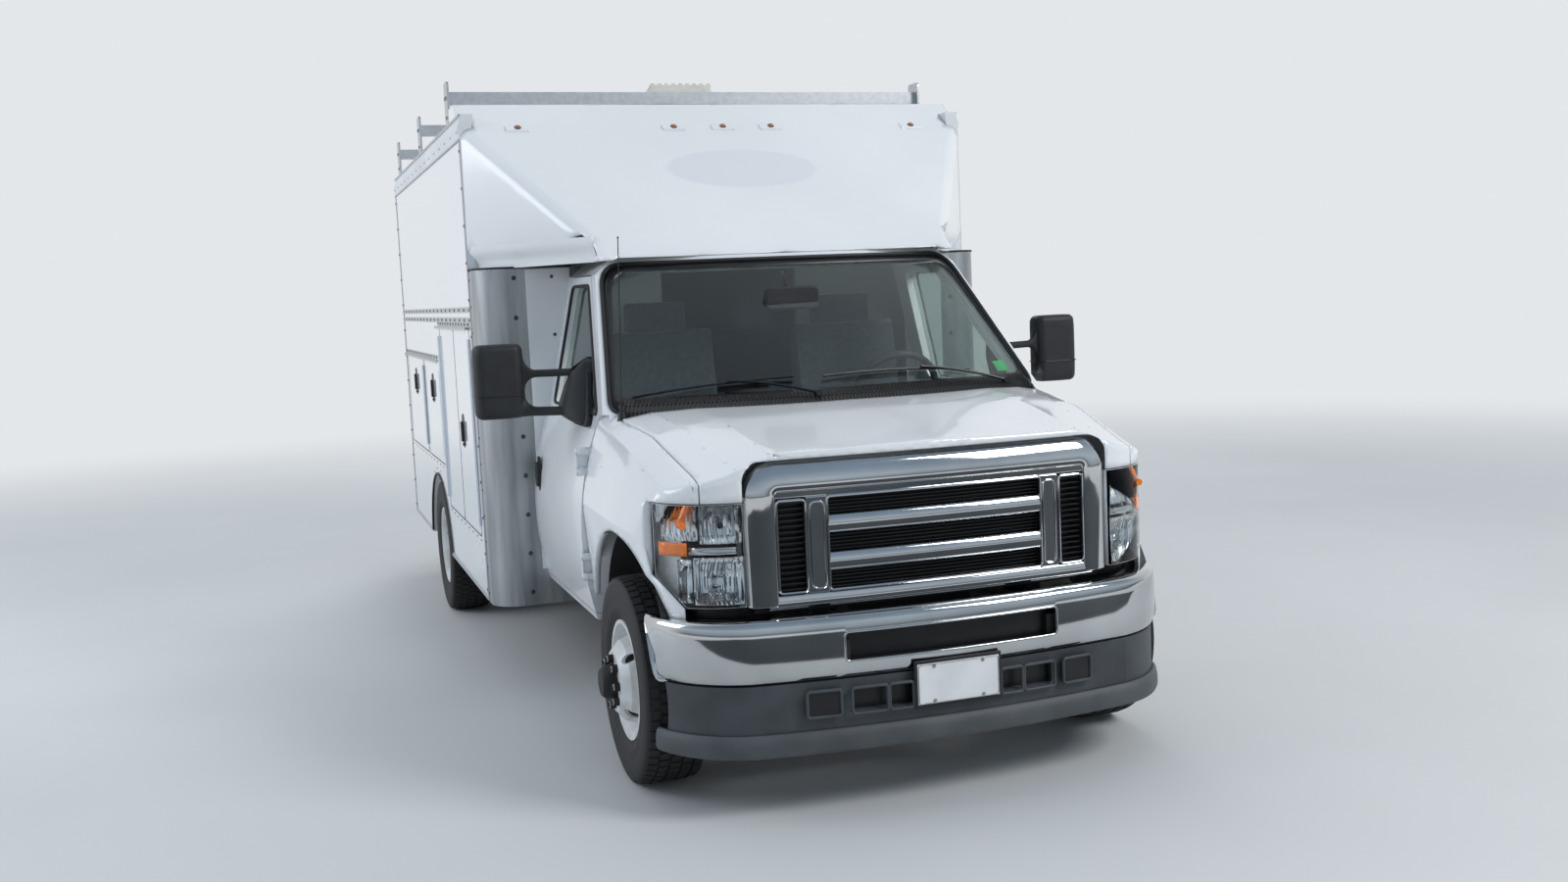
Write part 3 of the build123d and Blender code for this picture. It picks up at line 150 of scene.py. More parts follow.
# Mill aluminium: rolled sheet, grey and soft, with streaks along the roll
mill_sheet = mottled("mill_aluminium", "mill_aluminium", "#8f9396", "#b3b6b8", 3.0, (0.3, 0.46),
                     0.12, 60.0, (6, 6, 0.5), Metallic=0.9)
aluminium_extrusion = mottled("anodised_aluminium", "mill_aluminium", "#b6b9bb", "#c0c3c5", 40.0,
                              (0.28, 0.4), 0.05, 300.0, Metallic=0.9)
# Chrome plating: a mirror with stone chips too fine to see one by one
chrome = mottled("chrome_plate", "chrome_trim", "#bcbec0", "#c8cacb", 5.0, (0.04, 0.1), 0.04, 30.0,
                 Metallic=1.0)
tyre_tread = mottled("tyre_rubber_tread", "tyre_rubber", "#1b1b1c", "#2b2a2a", 9.0, (0.75, 0.95),
                     0.3, 260.0)
tyre_side = mottled("tyre_rubber_sidewall", "tyre_rubber", "#19191a", "#242425", 6.0, (0.6, 0.8),
                    0.15, 350.0)
wheel_enamel = mottled("steel_wheel_enamel", "wheel_paint", "#d8dadb", "#c3c2bd", 14.0, (0.3, 0.5),
                       0.08, 160.0)
hub_casting = mottled("painted_casting", "cast_parts", "#1c1d1e", "#34302c", 18.0, (0.5, 0.75),
                      0.4, 180.0, Metallic=0.3)
chassis_paint = mottled("chassis_wax_black", "chassis_paint", "#17181a", "#2a2622", 6.0,
                        (0.45, 0.7), 0.2, 120.0)
# Grained polypropylene: matt black with a fine leather grain
grained_black = mottled("grained_polypropylene_black", "black_plastic", "#17181a", "#1f2123", 20.0,
                        (0.48, 0.6), 0.5, 700.0)
satin_black = mottled("satin_black_moulding", "black_plastic", "#101113", "#17181a", 12.0,
                      (0.3, 0.42), 0.1, 300.0)
valance_grey = mottled("grained_polypropylene_grey", "black_plastic", "#35383c", "#44484c", 6.0,
                       (0.42, 0.58), 0.4, 600.0)
# The valance's lower lip: the same grey plastic as the valance, made lighter as painted sunlight
# on its upward-tilted face
valance_grey_painted_sunlit = mottled("valance_grey_lip_painted_sunlit", "black_plastic", "#44474a", "#515457", 7.0,
                    (0.5, 0.62), 0.3, 500.0)
rubber_seal = mottled("extruded_rubber_black", "black_plastic", "#0c0d0e", "#151617", 16.0,
                      (0.5, 0.68), 0.1, 250.0)
interior_black = mottled("moulded_interior_charcoal", "interior_plastic", "#25272b", "#2e3136",
                         8.0, (0.6, 0.75), 0.4, 600.0)
seat_cloth = mottled("woven_seat_cloth", "seat_fabric", "#2a2d33", "#3b3f46", 60.0, (0.8, 0.95),
                     0.6, 900.0, Sheen_Weight=0.4)
tank_moulding = mottled("moulded_polyethylene_black", "tank_plastic", "#1b1c1d", "#242526", 5.0,
                        (0.4, 0.55), 0.2, 200.0)
lamp_moulding = mottled("metallised_lamp_housing", "lamp_lens", "#c3c6c8", "#d0d3d5", 30.0,
                        (0.38, 0.5), 0.1, 300.0, Metallic=0.35)
zinc_plate = mottled("zinc_plated_steel", "mill_aluminium", "#9b9d9c", "#b9b8b2", 50.0, (0.3, 0.5),
                     0.1, 400.0, Metallic=0.9)
dark_rivet = mottled("aged_rivet_head", "mill_aluminium", "#3a3c40", "#55575b", 60.0, (0.35, 0.5),
                     0.1, 500.0, Metallic=0.7)
label_green = mottled("printed_label_green", "body_paint", "#2f9a5b", "#39a866", 30.0,
                      (0.35, 0.45), 0.05, 200.0)
plate_white = mottled("painted_plate_white", "body_paint", "#dcdcdc", "#e6e6e6", 10.0, (0.3, 0.42),
                      0.05, 200.0)
roof_membrane = mottled("roof_sheet_white", "body_paint", "#cfd2d4", "#dcdedf", 2.0, (0.35, 0.5),
                        0.1, 40.0)
vent_moulding = mottled("weathered_acrylic", "glassfibre", "#c9c5b8", "#d9d6cb", 14.0, (0.4, 0.55),
                        0.1, 200.0)
tread_plate = mottled("galvanised_tread_plate", "mill_aluminium", "#8a8d8f", "#a3a5a6", 20.0,
                      (0.3, 0.5), 0.5, 120.0, Metallic=0.85)
floor_ply = mottled("sealed_plywood_floor", "interior_plastic", "#6b5138", "#84684b", 3.0,
                    (0.5, 0.7), 0.2, 60.0, (1, 8, 1))
liner_white = mottled("glassfibre_liner_white", "glassfibre", "#cbcdcd", "#d8dada", 3.0,
                      (0.35, 0.5), 0.2, 80.0)


def gelcoat():
    """Hand-laid glassfibre: white gelcoat, softer than paint, with a greyer oval on its face."""
    material, shader = new_material("gelcoat_glassfibre_white", "#e6e8e8", Coat_Weight=0.5,
                                    Coat_Roughness=0.08, Roughness=0.22)
    drift = object_noise(material, 1.1, 4.0)
    base = blend_colours(material, drift, "#e2e4e5", "#ebeceb")
    place = add_node(material, "ShaderNodeTexCoord").outputs["Object"]
    mapping = add_node(material, "ShaderNodeMapping", [("Vector", place)])
    mapping.inputs["Location"].default_value = (0.0, 0.0, -2.28)
    flat_place = add_node(material, "ShaderNodeVectorMath", [(0, mapping.outputs["Vector"])],
                          operation="MULTIPLY")
    flat_place.inputs[1].default_value = (1 / 0.37, 0.0, 1 / 0.1)
    reach = add_node(material, "ShaderNodeVectorMath", [(0, flat_place.outputs["Vector"])],
                     operation="LENGTH")
    patch = add_node(material, "ShaderNodeMapRange", [("Value", reach.outputs["Value"])],
                     From_Min=0.9, From_Max=1.0, To_Min=1.0, To_Max=0.0)
    mixed = add_node(material, "ShaderNodeMix", [(0, patch.outputs["Result"]), (6, base)],
                     data_type="RGBA")
    mixed.inputs[7].default_value = srgb("#dcdee2")
    connect(material, mixed.outputs[2], shader, "Base Color")
    bumpy(material, shader, object_noise(material, 3.5, 2.0), 0.18, 0.002)
    return material


def tinted_glass(name, tint, rough=0.0, ior=1.5):
    """Tempered glass: clear with a green-grey tint."""
    material, shader = new_material(name, tint, Roughness=rough, IOR=ior, Transmission_Weight=1.0)
    drift = object_noise(material, 2.0)
    connect(material, number_range(material, drift, rough, rough + 0.015), shader, "Roughness")
    return material


def fluted_reflector():
    """Aluminised lamp bowl: a mirror pressed into upright flutes about 14 mm apart."""
    material, shader = new_material("aluminised_reflector", "#d7dadc", Metallic=1.0,
                                    Roughness=0.14)
    place = add_node(material, "ShaderNodeTexCoord").outputs["Object"]
    flutes = add_node(material, "ShaderNodeTexWave", [("Vector", place)], Scale=22.0,
                      Distortion=0.6, bands_direction="X")
    bumpy(material, shader, flutes.outputs["Fac"], 0.9, 0.004)
    return material


reflex_amber = mottled("moulded_reflex_amber", "amber_lens", "#e8701c", "#f2832a", 30.0,
                       (0.2, 0.3), 0.4, 500.0, Coat_Weight=0.6)
glass_screen = tinted_glass("laminated_glass_tint", "#dbe6e2")
glass_door = tinted_glass("tempered_glass_tint", "#b3c1bd")
lens_clear = tinted_glass("polycarbonate_lens_clear", "#fafcfc", 0.0, 1.2)
lens_red = tinted_glass("polycarbonate_lens_red", "#a81414", 0.08)
lens_brown = mottled("polycarbonate_lens_smoked_amber", "amber_lens", "#8d5a35", "#a96a3a", 30.0,
                     (0.2, 0.3), 0.1, 300.0)
reflector = fluted_reflector()
gelcoat_white = gelcoat()


# Pieces

def finish_piece(name, bm, material, body="van_body", sharp=35, bevel=0.0, in_frame=False,
                 wall=0.0):
    """Puts a bmesh in the frame as a named piece that rides on a body."""
    if not in_frame:
        bm.transform(TO_FRAME)
    bmesh.ops.remove_doubles(bm, verts=bm.verts, dist=0.00005)
    bmesh.ops.recalc_face_normals(bm, faces=bm.faces)
    mesh = bpy.data.meshes.new(name)
    bm.to_mesh(mesh)
    bm.free()
    mesh.materials.append(material)
    mesh.shade_smooth()
    mesh.set_sharp_from_angle(angle=math.radians(sharp))
    obj = bpy.data.objects.new(name, mesh)
    scene.collection.objects.link(obj)
    if wall:
        shell = obj.modifiers.new("wall", "SOLIDIFY")
        shell.thickness = wall
        shell.offset = -1
    if bevel:
        edge = obj.modifiers.new("soft_edges", "BEVEL")
        edge.width = bevel
        edge.segments = 2
        edge.limit_method = "ANGLE"
        edge.angle_limit = math.radians(sharp)
        edge.harden_normals = True
    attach(obj, body)
    return obj


def cuboid(bm, x0, x1, y0, y1, z0, z1):
    size = Matrix.Diagonal((abs(x1 - x0), abs(y1 - y0), abs(z1 - z0), 1))
    centre = Matrix.Translation(((x0 + x1) / 2, (y0 + y1) / 2, (z0 + z1) / 2))
    bmesh.ops.create_cube(bm, size=1, matrix=centre @ size)


def turned(direction):
    """The rotation that lays +Z along a direction."""
    return Vector((0, 0, 1)).rotation_difference(Vector(direction)).to_matrix().to_4x4()


def rod(bm, start, end, radius, end_radius=None, segments=16):
    start, end = Vector(start), Vector(end)
    run = end - start
    place = Matrix.Translation((start + end) / 2) @ turned(run)
    bmesh.ops.create_cone(bm, cap_ends=True, segments=segments, radius1=radius,
                          radius2=radius if end_radius is None else end_radius,
                          depth=run.length, matrix=place)


def prism(bm, outline, run):
    """A flat outline of points drawn out along a vector."""
    face = bm.faces.new([bm.verts.new(p) for p in outline])
    drawn = bmesh.ops.extrude_face_region(bm, geom=[face])
    moved = [v for v in drawn["geom"] if isinstance(v, bmesh.types.BMVert)]
    bmesh.ops.translate(bm, verts=moved, vec=Vector(run))


def sweep(bm, rings, closed_ring=True, closed_run=False, capped=True):
    """Joins rings of points one after another into a skin."""
    loops = []
    for ring in rings:
        verts = [bm.verts.new(p) for p in ring]
        pairs = list(zip(verts, verts[1:])) + ([(verts[-1], verts[0])] if closed_ring else [])
        loops.append([bm.edges.new(pair) for pair in pairs])
    joined = loops + ([loops[0]] if closed_run else [])
    for here, there in zip(joined, joined[1:]):
        bmesh.ops.bridge_loops(bm, edges=here + there)
    if closed_ring and capped and not closed_run:
        for loop in (loops[0], loops[-1]):
            bmesh.ops.edgeloop_fill(bm, edges=loop)


def tube(bm, path, radius, segments=10, closed=False):
    """A round tube along a path of points."""
    points = [Vector(p) for p in path]
    count = len(points)
    rings = []
    for i, point in enumerate(points):
        ahead = points[(i + 1) % count] if closed or i + 1 < count else point
        behind = points[i - 1] if closed or i else point
        along = (ahead - behind).normalized()
        side = along.cross(Vector((0, 0, 1)))
        if side.length < 0.05:
            side = along.cross(Vector((0, 1, 0)))
        side.normalize()
        up = side.cross(along)
        rings.append([point + radius * (math.cos(a) * side + math.sin(a) * up)
                      for a in (2 * math.pi * s / segments for s in range(segments))])
    sweep(bm, rings, closed_run=closed)


def bezier(corners, steps=12):
    """Points on one smooth curve through control corners (quadratic or cubic)."""
    corners = [Vector(p) for p in corners]
    found = []
    for step in range(steps + 1):
        t = step / steps
        row = corners
        while len(row) > 1:
            row = [a.lerp(b, t) for a, b in zip(row, row[1:])]
        found.append(row[0])
    return found


def lathe(bm, profile, centre, steps):
    """A profile of (along the axle, radius) points spun into a ring about an axis along X."""
    verts = [bm.verts.new((centre[0] + along, centre[1], centre[2] + radius))
             for along, radius in profile]
    edges = [bm.edges.new(pair) for pair in zip(verts, verts[1:] + verts[:1])]
    bmesh.ops.spin(bm, geom=verts + edges, cent=centre, axis=(1, 0, 0), dvec=(0, 0, 0),
                   angle=2 * math.pi, steps=steps, use_merge=True)


def rivet_row(bm, points, normal, radius=6.0, height=2.5):
    """Domed rivet heads: low cones with few faces, because there are hundreds."""
    normal = Vector(normal)
    for point in points:
        foot = Vector(point) - normal * 0.4
        rod(bm, foot, foot + normal * height, radius, radius * 0.55, segments=8)


def stations(start, end, spacing):
    count = max(1, round(abs(end - start) / spacing))
    return [start + (end - start) * i / count for i in range(count + 1)]


def mirrored(name, build, material, bodies=("van_body", "van_body"), **finish):
    """One piece for each side of the van. The first is drawn at +X."""
    made = []
    for side, body in zip((1, -1), bodies):
        bm = bmesh.new()
        build(bm)
        if side < 0:
            bmesh.ops.transform(bm, verts=bm.verts, matrix=Matrix.Diagonal((-1, 1, 1, 1)))
        made.append(finish_piece(f"{name}_{'left' if side > 0 else 'right'}", bm, material, body,
                                 **finish))
    return made


def drop_scraps(bm, least):
    """Deletes the loose patches of a skin that are smaller than an area in square metres."""
    unseen = set(bm.faces)
    scraps = []
    while unseen:
        patch, front = [], [unseen.pop()]
        while front:
            face = front.pop()
            patch.append(face)
            near = {f for e in face.edges for f in e.link_faces} & unseen
            unseen -= near
            front += near
        if sum(f.calc_area() for f in patch) < least:
            scraps += patch
    bmesh.ops.delete(bm, geom=scraps, context="FACES")


def is_corner(edge, holds):
    """A free edge, or a crease between two faces wide enough to have a true angle."""
    if not edge.is_manifold:
        return True
    wide = all(f.calc_area() > 0.04 * max(side.calc_length() for side in f.edges) ** 2
               for f in edge.link_faces)
    return wide and edge.calc_face_angle(0.0) > math.radians(holds)


def ease_panel(node, material, edge, passes, holds=60, fixed=lambda point: False, core=None):
    """A CAD node's shape with its creases eased, which stands for the node.

    Corners sharper than holds degrees, and the points that fixed picks, keep their place.
    With a core height, only the faces that look forward or away from the core line stay,
    as a skin.
    """
    bm = bmesh.new()
    bm.from_mesh(nodes[node].data)
    bmesh.ops.remove_doubles(bm, verts=bm.verts, dist=0.00005)
    if core:
        inward = []
        for face in bm.faces:
            middle, normal = face.calc_center_median(), face.normal
            if normal.y > -0.4 and normal.x * middle.x + normal.z * (middle.z - core) < 0.02:
                inward.append(face)
        bmesh.ops.delete(bm, geom=inward, context="FACES")
        drop_scraps(bm, 0.02)
    bmesh.ops.dissolve_limit(bm, angle_limit=math.radians(1.0), verts=bm.verts, edges=bm.edges)
    bmesh.ops.triangulate(bm, faces=bm.faces)
    bmesh.ops.dissolve_degenerate(bm, edges=bm.edges, dist=0.0008)
    for _ in range(8):
        long_edges = [e for e in bm.edges if e.calc_length() > edge]
        if not long_edges:
            break
        bmesh.ops.subdivide_edges(bm, edges=long_edges, cuts=1)
        bmesh.ops.triangulate(bm, faces=[f for f in bm.faces if len(f.verts) > 3])
    corners = {v for e in bm.edges if is_corner(e, holds) for v in e.verts}
    free = [v for v in bm.verts if v not in corners and not fixed(v.co)]
    for _ in range(passes):
        bmesh.ops.smooth_vert(bm, verts=free, factor=0.5, use_axis_x=True, use_axis_y=True,
                              use_axis_z=True)
    piece = finish_piece(f"{node}_finish", bm, material, nodes[node]["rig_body"], sharp=50,
                         in_frame=True, wall=0.003 if core else 0)
    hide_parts(node)
    return piece


def paint(material, *names):
    """A CAD node that keeps its shape gets its real finish."""
    for name in names:
        data = nodes[name].data
        data.materials.clear()
        data.materials.append(material)


SIDES = ("left", "right")


def pair(stem):
    return [f"{stem}_{side}" for side in SIDES]


paint(cab_enamel, "cab_body", *pair("cab_door"))
paint(glass_screen, "windscreen")
paint(glass_door, *pair("door_glass"))
for pane in ("windscreen", *pair("door_glass")):
    nodes[pane].visible_shadow = False
paint(gelcoat_white, "nose_cap")
paint(panel_enamel, *pair("box_side"), "rear_frame", *pair("rear_door"))
paint(panel_enamel, *[f"locker_door_{n}_{side}" for n in (1, 2, 3, 4) for side in SIDES])
paint(roof_membrane, "box_roof")
paint(mill_sheet, "corner_wings")
paint(aluminium_extrusion, "roof_rack")
paint(liner_white, "bulkhead")
paint(floor_ply, "box_floor")
paint(chrome, "grille_surround", "front_bumper")
paint(satin_black, "grille_backing", "cowl_panel", "radiator_support")
paint(valance_grey, "front_valance")
paint(tyre_side, *pair("front_tyre"), *pair("rear_tyres"))
paint(wheel_enamel, *pair("front_wheel"), *pair("rear_wheels"))
paint(hub_casting, *pair("knuckle"))
paint(chassis_paint, "frame_rails", "front_suspension", "rear_axle", "engine_block", "driveline")
paint(tank_moulding, "fuel_tank")
paint(grained_black, *pair("mirror"))
paint(interior_black, "dashboard", "steering_wheel")
paint(seat_cloth, "seats")
paint(tread_plate, "rear_bumper")
paint(lens_red, "tail_lamps")
paint(lens_brown, "marker_lamps")
paint(vent_moulding, "vent_lid")
paint(reflector, "headlamps")
paint(cab_enamel, "hood", "fenders")

BOTH_DOORS = ("cab_door_left", "cab_door_right")


def closely_spaced(outline, spacing):
    """A closed outline with points put in, so that it can follow a curved surface."""
    points = []
    for point, following in zip(outline, outline[1:] + outline[:1]):
        count = max(1, round((following - point).length / spacing))
        points += [point.lerp(following, k / count) for k in range(count)]
    return points


def arc_through(start, middle, end, steps):
    """Points on the circle through three plan points."""
    (ax, ay), (bx, by), (cx, cy) = start, middle, end
    d = 2 * (ax * (by - cy) + bx * (cy - ay) + cx * (ay - by))
    aa, bb, cc = ax**2 + ay**2, bx**2 + by**2, cx**2 + cy**2
    ux = (aa * (by - cy) + bb * (cy - ay) + cc * (ay - by)) / d
    uy = (aa * (cx - bx) + bb * (ax - cx) + cc * (bx - ax)) / d
    radius = math.hypot(ax - ux, ay - uy)
    first, last = (math.atan2(y - uy, x - ux) for x, y in (start, end))
    turn = (last - first + math.pi) % (2 * math.pi) - math.pi
    return [(ux + radius * math.cos(first + turn * i / steps),
             uy + radius * math.sin(first + turn * i / steps)) for i in range(steps + 1)]


def rounded(corners, radii, steps=6):
    """A closed outline with its corners eased, each by its own radius."""
    points = []
    for i, corner in enumerate(corners):
        here = Vector(corner)
        back, ahead = Vector(corners[i - 1]) - here, Vector(corners[(i + 1) % len(corners)]) - here
        ease = radii if isinstance(radii, (int, float)) else radii[i]
        points += bezier([here + back.normalized() * ease, here, here + ahead.normalized() * ease],
                         steps)
    return points


# Windscreen: its rubber seal, black ceramic band, mirror and blank green inspection label

SCREEN_FOOT, SCREEN_HEAD = (892, 1291), (774, 1860)
# The glass leans back by its rake for each millimetre up, and bows forward by its sag
SCREEN_RAKE, SCREEN_SAG, SCREEN_FOOT_Y = 1.084, 162, 364
# How far along y a millimetre square to the glass reaches
SCREEN_NORMAL = 1.475


def screen_point(x, z, out=0.0):
    """A point on the windscreen's outer face, or out millimetres in front of it."""
    half, low = SCREEN_FOOT
    y = SCREEN_FOOT_Y - SCREEN_SAG * (1 - (x / half) ** 2) + (z - low) * SCREEN_RAKE
    return Vector((x, y - out * SCREEN_NORMAL, z))


def screen_outline(inset, out, low=0.0):
    foot, head = SCREEN_FOOT, SCREEN_HEAD
    corners = [(-foot[0] + inset, foot[1] + inset + low), (foot[0] - inset, foot[1] + inset + low),
               (head[0] - inset, head[1] - inset), (-head[0] + inset, head[1] - inset)]
    outline = rounded(corners, (48, 48, 84, 84))
    return [screen_point(p.x, p.y, out) for p in closely_spaced(outline, 90)]


def windscreen_trim():
    bm = bmesh.new()
    tube(bm, screen_outline(2, 1.5), 9.0, 8, closed=True)
    finish_piece("windscreen_seal", bm, rubber_seal)
    bm = bmesh.new()
    outer, inner = screen_outline(4, 1.0), screen_outline(34, 1.0, 18)
    count = min(len(outer), len(inner))
    sweep(bm, [outer[:count], inner[:count]], capped=False)
    finish_piece("ceramic_band", bm, satin_black, wall=0.0008)
    bm = bmesh.new()
    head = Vector((-53, 640, 1690))
    prism(bm, [(p.x, head.y + 14, p.y) for p in rounded(
        [(head.x - 116, head.z - 48), (head.x + 116, head.z - 48), (head.x + 116, head.z + 48),
         (head.x - 116, head.z + 48)], 30, 4)], (0, -30, 0))
    rod(bm, head + Vector((0, 6, 20)), (head.x + 10, 790, 1800), 9)
    finish_piece("rear_view_mirror", bm, grained_black, bevel=0.012)
    bm = bmesh.new()
    label = [screen_point(x, z, -7.5) for x, z in ((742, 1352), (806, 1352), (800, 1392),
                                                   (736, 1392))]
    prism(bm, label, (0, -0.6, 0.4))
    finish_piece("blank_label", bm, label_green, sharp=60)


# Cowl: a black louvred panel under the glass, with the wipers and the aerial

COWL_ROWS = [(1268, 36), (1296, 31), (1318, 18), (1336, 3)]


def cowl_vents():
    bm = bmesh.new()
    xs = stations(-860, 860, 60)
    sweep(bm, [[screen_point(x, z, out) for x in xs] for z, out in COWL_ROWS], closed_ring=False)
    panel = finish_piece("cowl_vent_panel", bm, satin_black, wall=0.004)
    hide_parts("cowl_panel")
    bm = bmesh.new()
    for x in stations(-845, 845, 15):
        for (z0, out0), (z1, out1) in zip(COWL_ROWS, COWL_ROWS[1:]):
            start, end = screen_point(x - 4, z0, out0 + 3), screen_point(x + 4, z1, out1 + 3)
            rod(bm, start, end, 3.4, segments=4)
    finish_piece("cowl_vent_slats", bm, grained_black, sharp=20)
    bm = bmesh.new()
    rod(bm, (-862, 292, 1262), (-862, 292, 1300), 20, 13)
    rod(bm, (-862, 292, 1298), (-862, 292, 1326), 9, 6)
    rod(bm, (-862, 292, 1320), (-862, 200, 1936), 2.6, 1.8, 8)
    bmesh.ops.create_icosphere(bm, subdivisions=1, radius=4,
                               matrix=Matrix.Translation((-862, 200, 1938)))
    finish_piece("aerial", bm, satin_black)


WIPERS = [
    # pivot, elbow, blade's ends and middle as (x, z) on the glass
    ((-114, 1330), (-330, 1392), [(-800, 1346), (-640, 1368), (-450, 1386), (-180, 1392)]),
    ((735, 1322), (520, 1388), [(-60, 1386), (150, 1398), (360, 1398), (590, 1372)]),
]


def wipers():
    bm = bmesh.new()
    for pivot, elbow, blade in WIPERS:
        rod(bm, screen_point(*pivot, 4), screen_point(*pivot, 34), 16, 13)
        middle = blade[2]
        arm = bezier([screen_point(*pivot, 30), screen_point(*elbow, 34),
                      screen_point(*middle, 26)], 10)
        tube(bm, arm, 6.0, 6)
        rubber = bezier([screen_point(*p, 12) for p in blade], 16)
        tube(bm, rubber, 5.5, 6)
        spine = bezier([screen_point(*p, 20) for p in blade], 16)
        tube(bm, spine[2:-2], 4.0, 6)
        for i in (3, 7, 10, 13):
            rod(bm, rubber[i], spine[i], 5)
    finish_piece("wipers", bm, satin_black)


windscreen_trim()
cowl_vents()
wipers()

# Front end: grille, headlamps, bumper, valance and the blank plate

ARCH_Z = 452.0
# The nose's reach before the axle at its middle, and its sag at a half width
NOSE_ARC = (578.0, 33.0, 668.0)


def nose_y(x, out=0.0):
    """The nose's face at a station across, or out millimetres in front of it."""
    reach, sag, half = NOSE_ARC
    return -reach + sag * (x / half) ** 2 - out


def front_sweep(bm, x0, x1, profile, face=nose_y):
    """A closed (out, z) profile carried across a curved face."""
    sweep(bm, [[(x, face(x, out), z) for out, z in profile] for x in stations(x0, x1, 60)])


def crossbar(bm, x0, x1, z0, z1, front, depth, face=nose_y):
    """A flat bar that follows the curve of the nose."""
    front_sweep(bm, x0, x1, [(front, z0), (front, z1), (front - depth, z1), (front - depth, z0)],
                face)


def face_frame(bm, x0, x1, z0, z1, radius, thick, front, face=nose_y):
    """A round-edged frame that lies on a curved face."""
    outline = rounded([(x0, z0), (x1, z0), (x1, z1), (x0, z1)], radius, 4)
    path = [(p.x, face(p.x, front), p.y) for p in closely_spaced(outline, 70)]
    tube(bm, path, thick, 8, closed=True)


# The low and high edges of the grille's three openings
GRILLE_GAPS = [(733.0, 795.7), (857.7, 920.3), (982.3, 1045.0)]

# The chrome band's section: (outward from the opening, forward of the nose)
SURROUND = [(-50, -44), (-50, 6), (-46, 13), (-30, 17), (-5, 16), (20, 11), (38, 3), (46, -5),
            (50, -12), (52, -20), (52, -44)]


def surround_band(bm):
    """The chrome band up one side of the grille, over it and down the other."""
    half, top, low, radius = 616, 1118, 692, 62
    right = [(half, z) for z in stations(low, top - radius, 60)]
    right += [(half - radius * (1 - math.cos(a)), top - radius * (1 - math.sin(a)))
              for a in (math.pi / 2 * i / 10 for i in range(1, 11))]
    across = [(x, top) for x in stations(-(half - radius), half - radius, 60)]
    path = [(-x, z) for x, z in right] + across[1:-1] + [(x, z) for x, z in reversed(right)]
    rings = []
    for i, (x, z) in enumerate(path):
        before, after = Vector(path[max(i - 1, 0)]), Vector(path[min(i + 1, len(path) - 1)])
        along = (after - before).normalized()
        normal = Vector((-along.y, along.x))
        lean = max(normal.y, 0) * 0.14
        rings.append([(x + normal.x * u, nose_y(x + normal.x * u, out - lean * (u + 50)),
                       z + normal.y * u) for u, out in SURROUND])
    sweep(bm, rings)


def grille():
    bm = bmesh.new()
    surround_band(bm)
    front_sweep(bm, -600, 600, [(-40, 680), (4, 680), (11, 688), (12, 708), (6, 726), (-6, 731),
                                (-40, 731)])
    front_sweep(bm, -572, 572, [(-40, 1043), (2, 1043), (8, 1050), (8, 1072), (-40, 1072)])
    for (_, low), (high, _) in zip(GRILLE_GAPS, GRILLE_GAPS[1:]):
        front_sweep(bm, -394, 394, [(-14, low), (6, low), (13, low + 7), (15, (low + high) / 2),
                                    (11, high - 9), (3, high), (-14, high)])
    for side in (-1, 1):
        x0, x1 = sorted((side * 391, side * 464))
        crossbar(bm, x0, x1, 726, 1048, 9, 40)
    frame_piece = finish_piece("grille_frame", bm, chrome, sharp=38, bevel=0.004)
    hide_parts("grille_surround")
    bm = bmesh.new()
    for x in (-1, 1):
        face_frame(bm, *sorted((x * 468, x * 564)), 734, 1040, 14, 4.5, 9)
        face_frame(bm, *sorted((x * 404, x * 450)), 742, 1030, 16, 3, 11)
    face_frame(bm, -392, 392, 733, 1045, 12, 5, 10)
    finish_piece("grille_bright_edges", bm, chrome)
    bm = bmesh.new()
    for low, high in GRILLE_GAPS:
        for z in stations(low + 8, high - 8, 12):
            crossbar(bm, -388, 388, z - 1.5, z + 1.5, -6, 22)
    for side in (-1, 1):
        for z in stations(744, 1030, 19):
            x0, x1 = sorted((side * 468, side * 566))
            crossbar(bm, x0, x1, z - 2.5, z + 2.5, 0, 26)
    finish_piece("grille_slats", bm, satin_black)
    bm = bmesh.new()
    crossbar(bm, -640, 640, 668, 682, -30, 16)
    finish_piece("grille_foot_seal", bm, rubber_seal)
    bm = bmesh.new()
    crossbar(bm, -575, 575, 1140, 1192, -46, 20)
    finish_piece("hood_landing_panel", bm, cab_enamel, bevel=0.004)


def front_faces(node, side):
    """The outward faces of one headlamp, as a new bmesh."""
    bm = bmesh.new()
    bm.from_mesh(nodes[node].data)
    bmesh.ops.remove_doubles(bm, verts=bm.verts, dist=0.00005)
    away = [f for f in bm.faces if f.normal.y > -0.06 or f.calc_center_median().x * side < 0]
    bmesh.ops.delete(bm, geom=away, context="FACES")
    return bm


PODS = [
    # centre across, centre height, half sizes, columns and rows of facets
    (752, 790, 74, 76, 12, 7),
    (848, 790, 18, 70, 3, 7),
    (742, 968, 62, 58, 9, 6),
    (856, 974, 46, 54, 6, 6),
]


def lamp_pod(bm, surface, side, pod, depth=46, front=16):
    """A faceted bowl that keeps its distance behind the lens."""
    cx, cz, half_x, half_z, columns, rows = pod
    for vert in bmesh.ops.create_grid(bm, x_segments=columns, y_segments=rows, size=1)["verts"]:
        u, v = vert.co.xy
        x, z = side * (cx + u * half_x), cz + v * half_z
        hit = surface.ray_cast(Vector((x / 1000, -9.0, z / 1000)), Vector((0, 1, 0)))[0]
        face = (hit.y - AXLE_STATION) * 1000 if hit else -430
        dish = depth * (1 - max(abs(u), abs(v)) ** 2)
        flute = 5 if round((u + 1) / 2 * columns) % 2 and abs(u) < 0.999 else 0
        vert.co = (x, face + front + dish - flute, z)


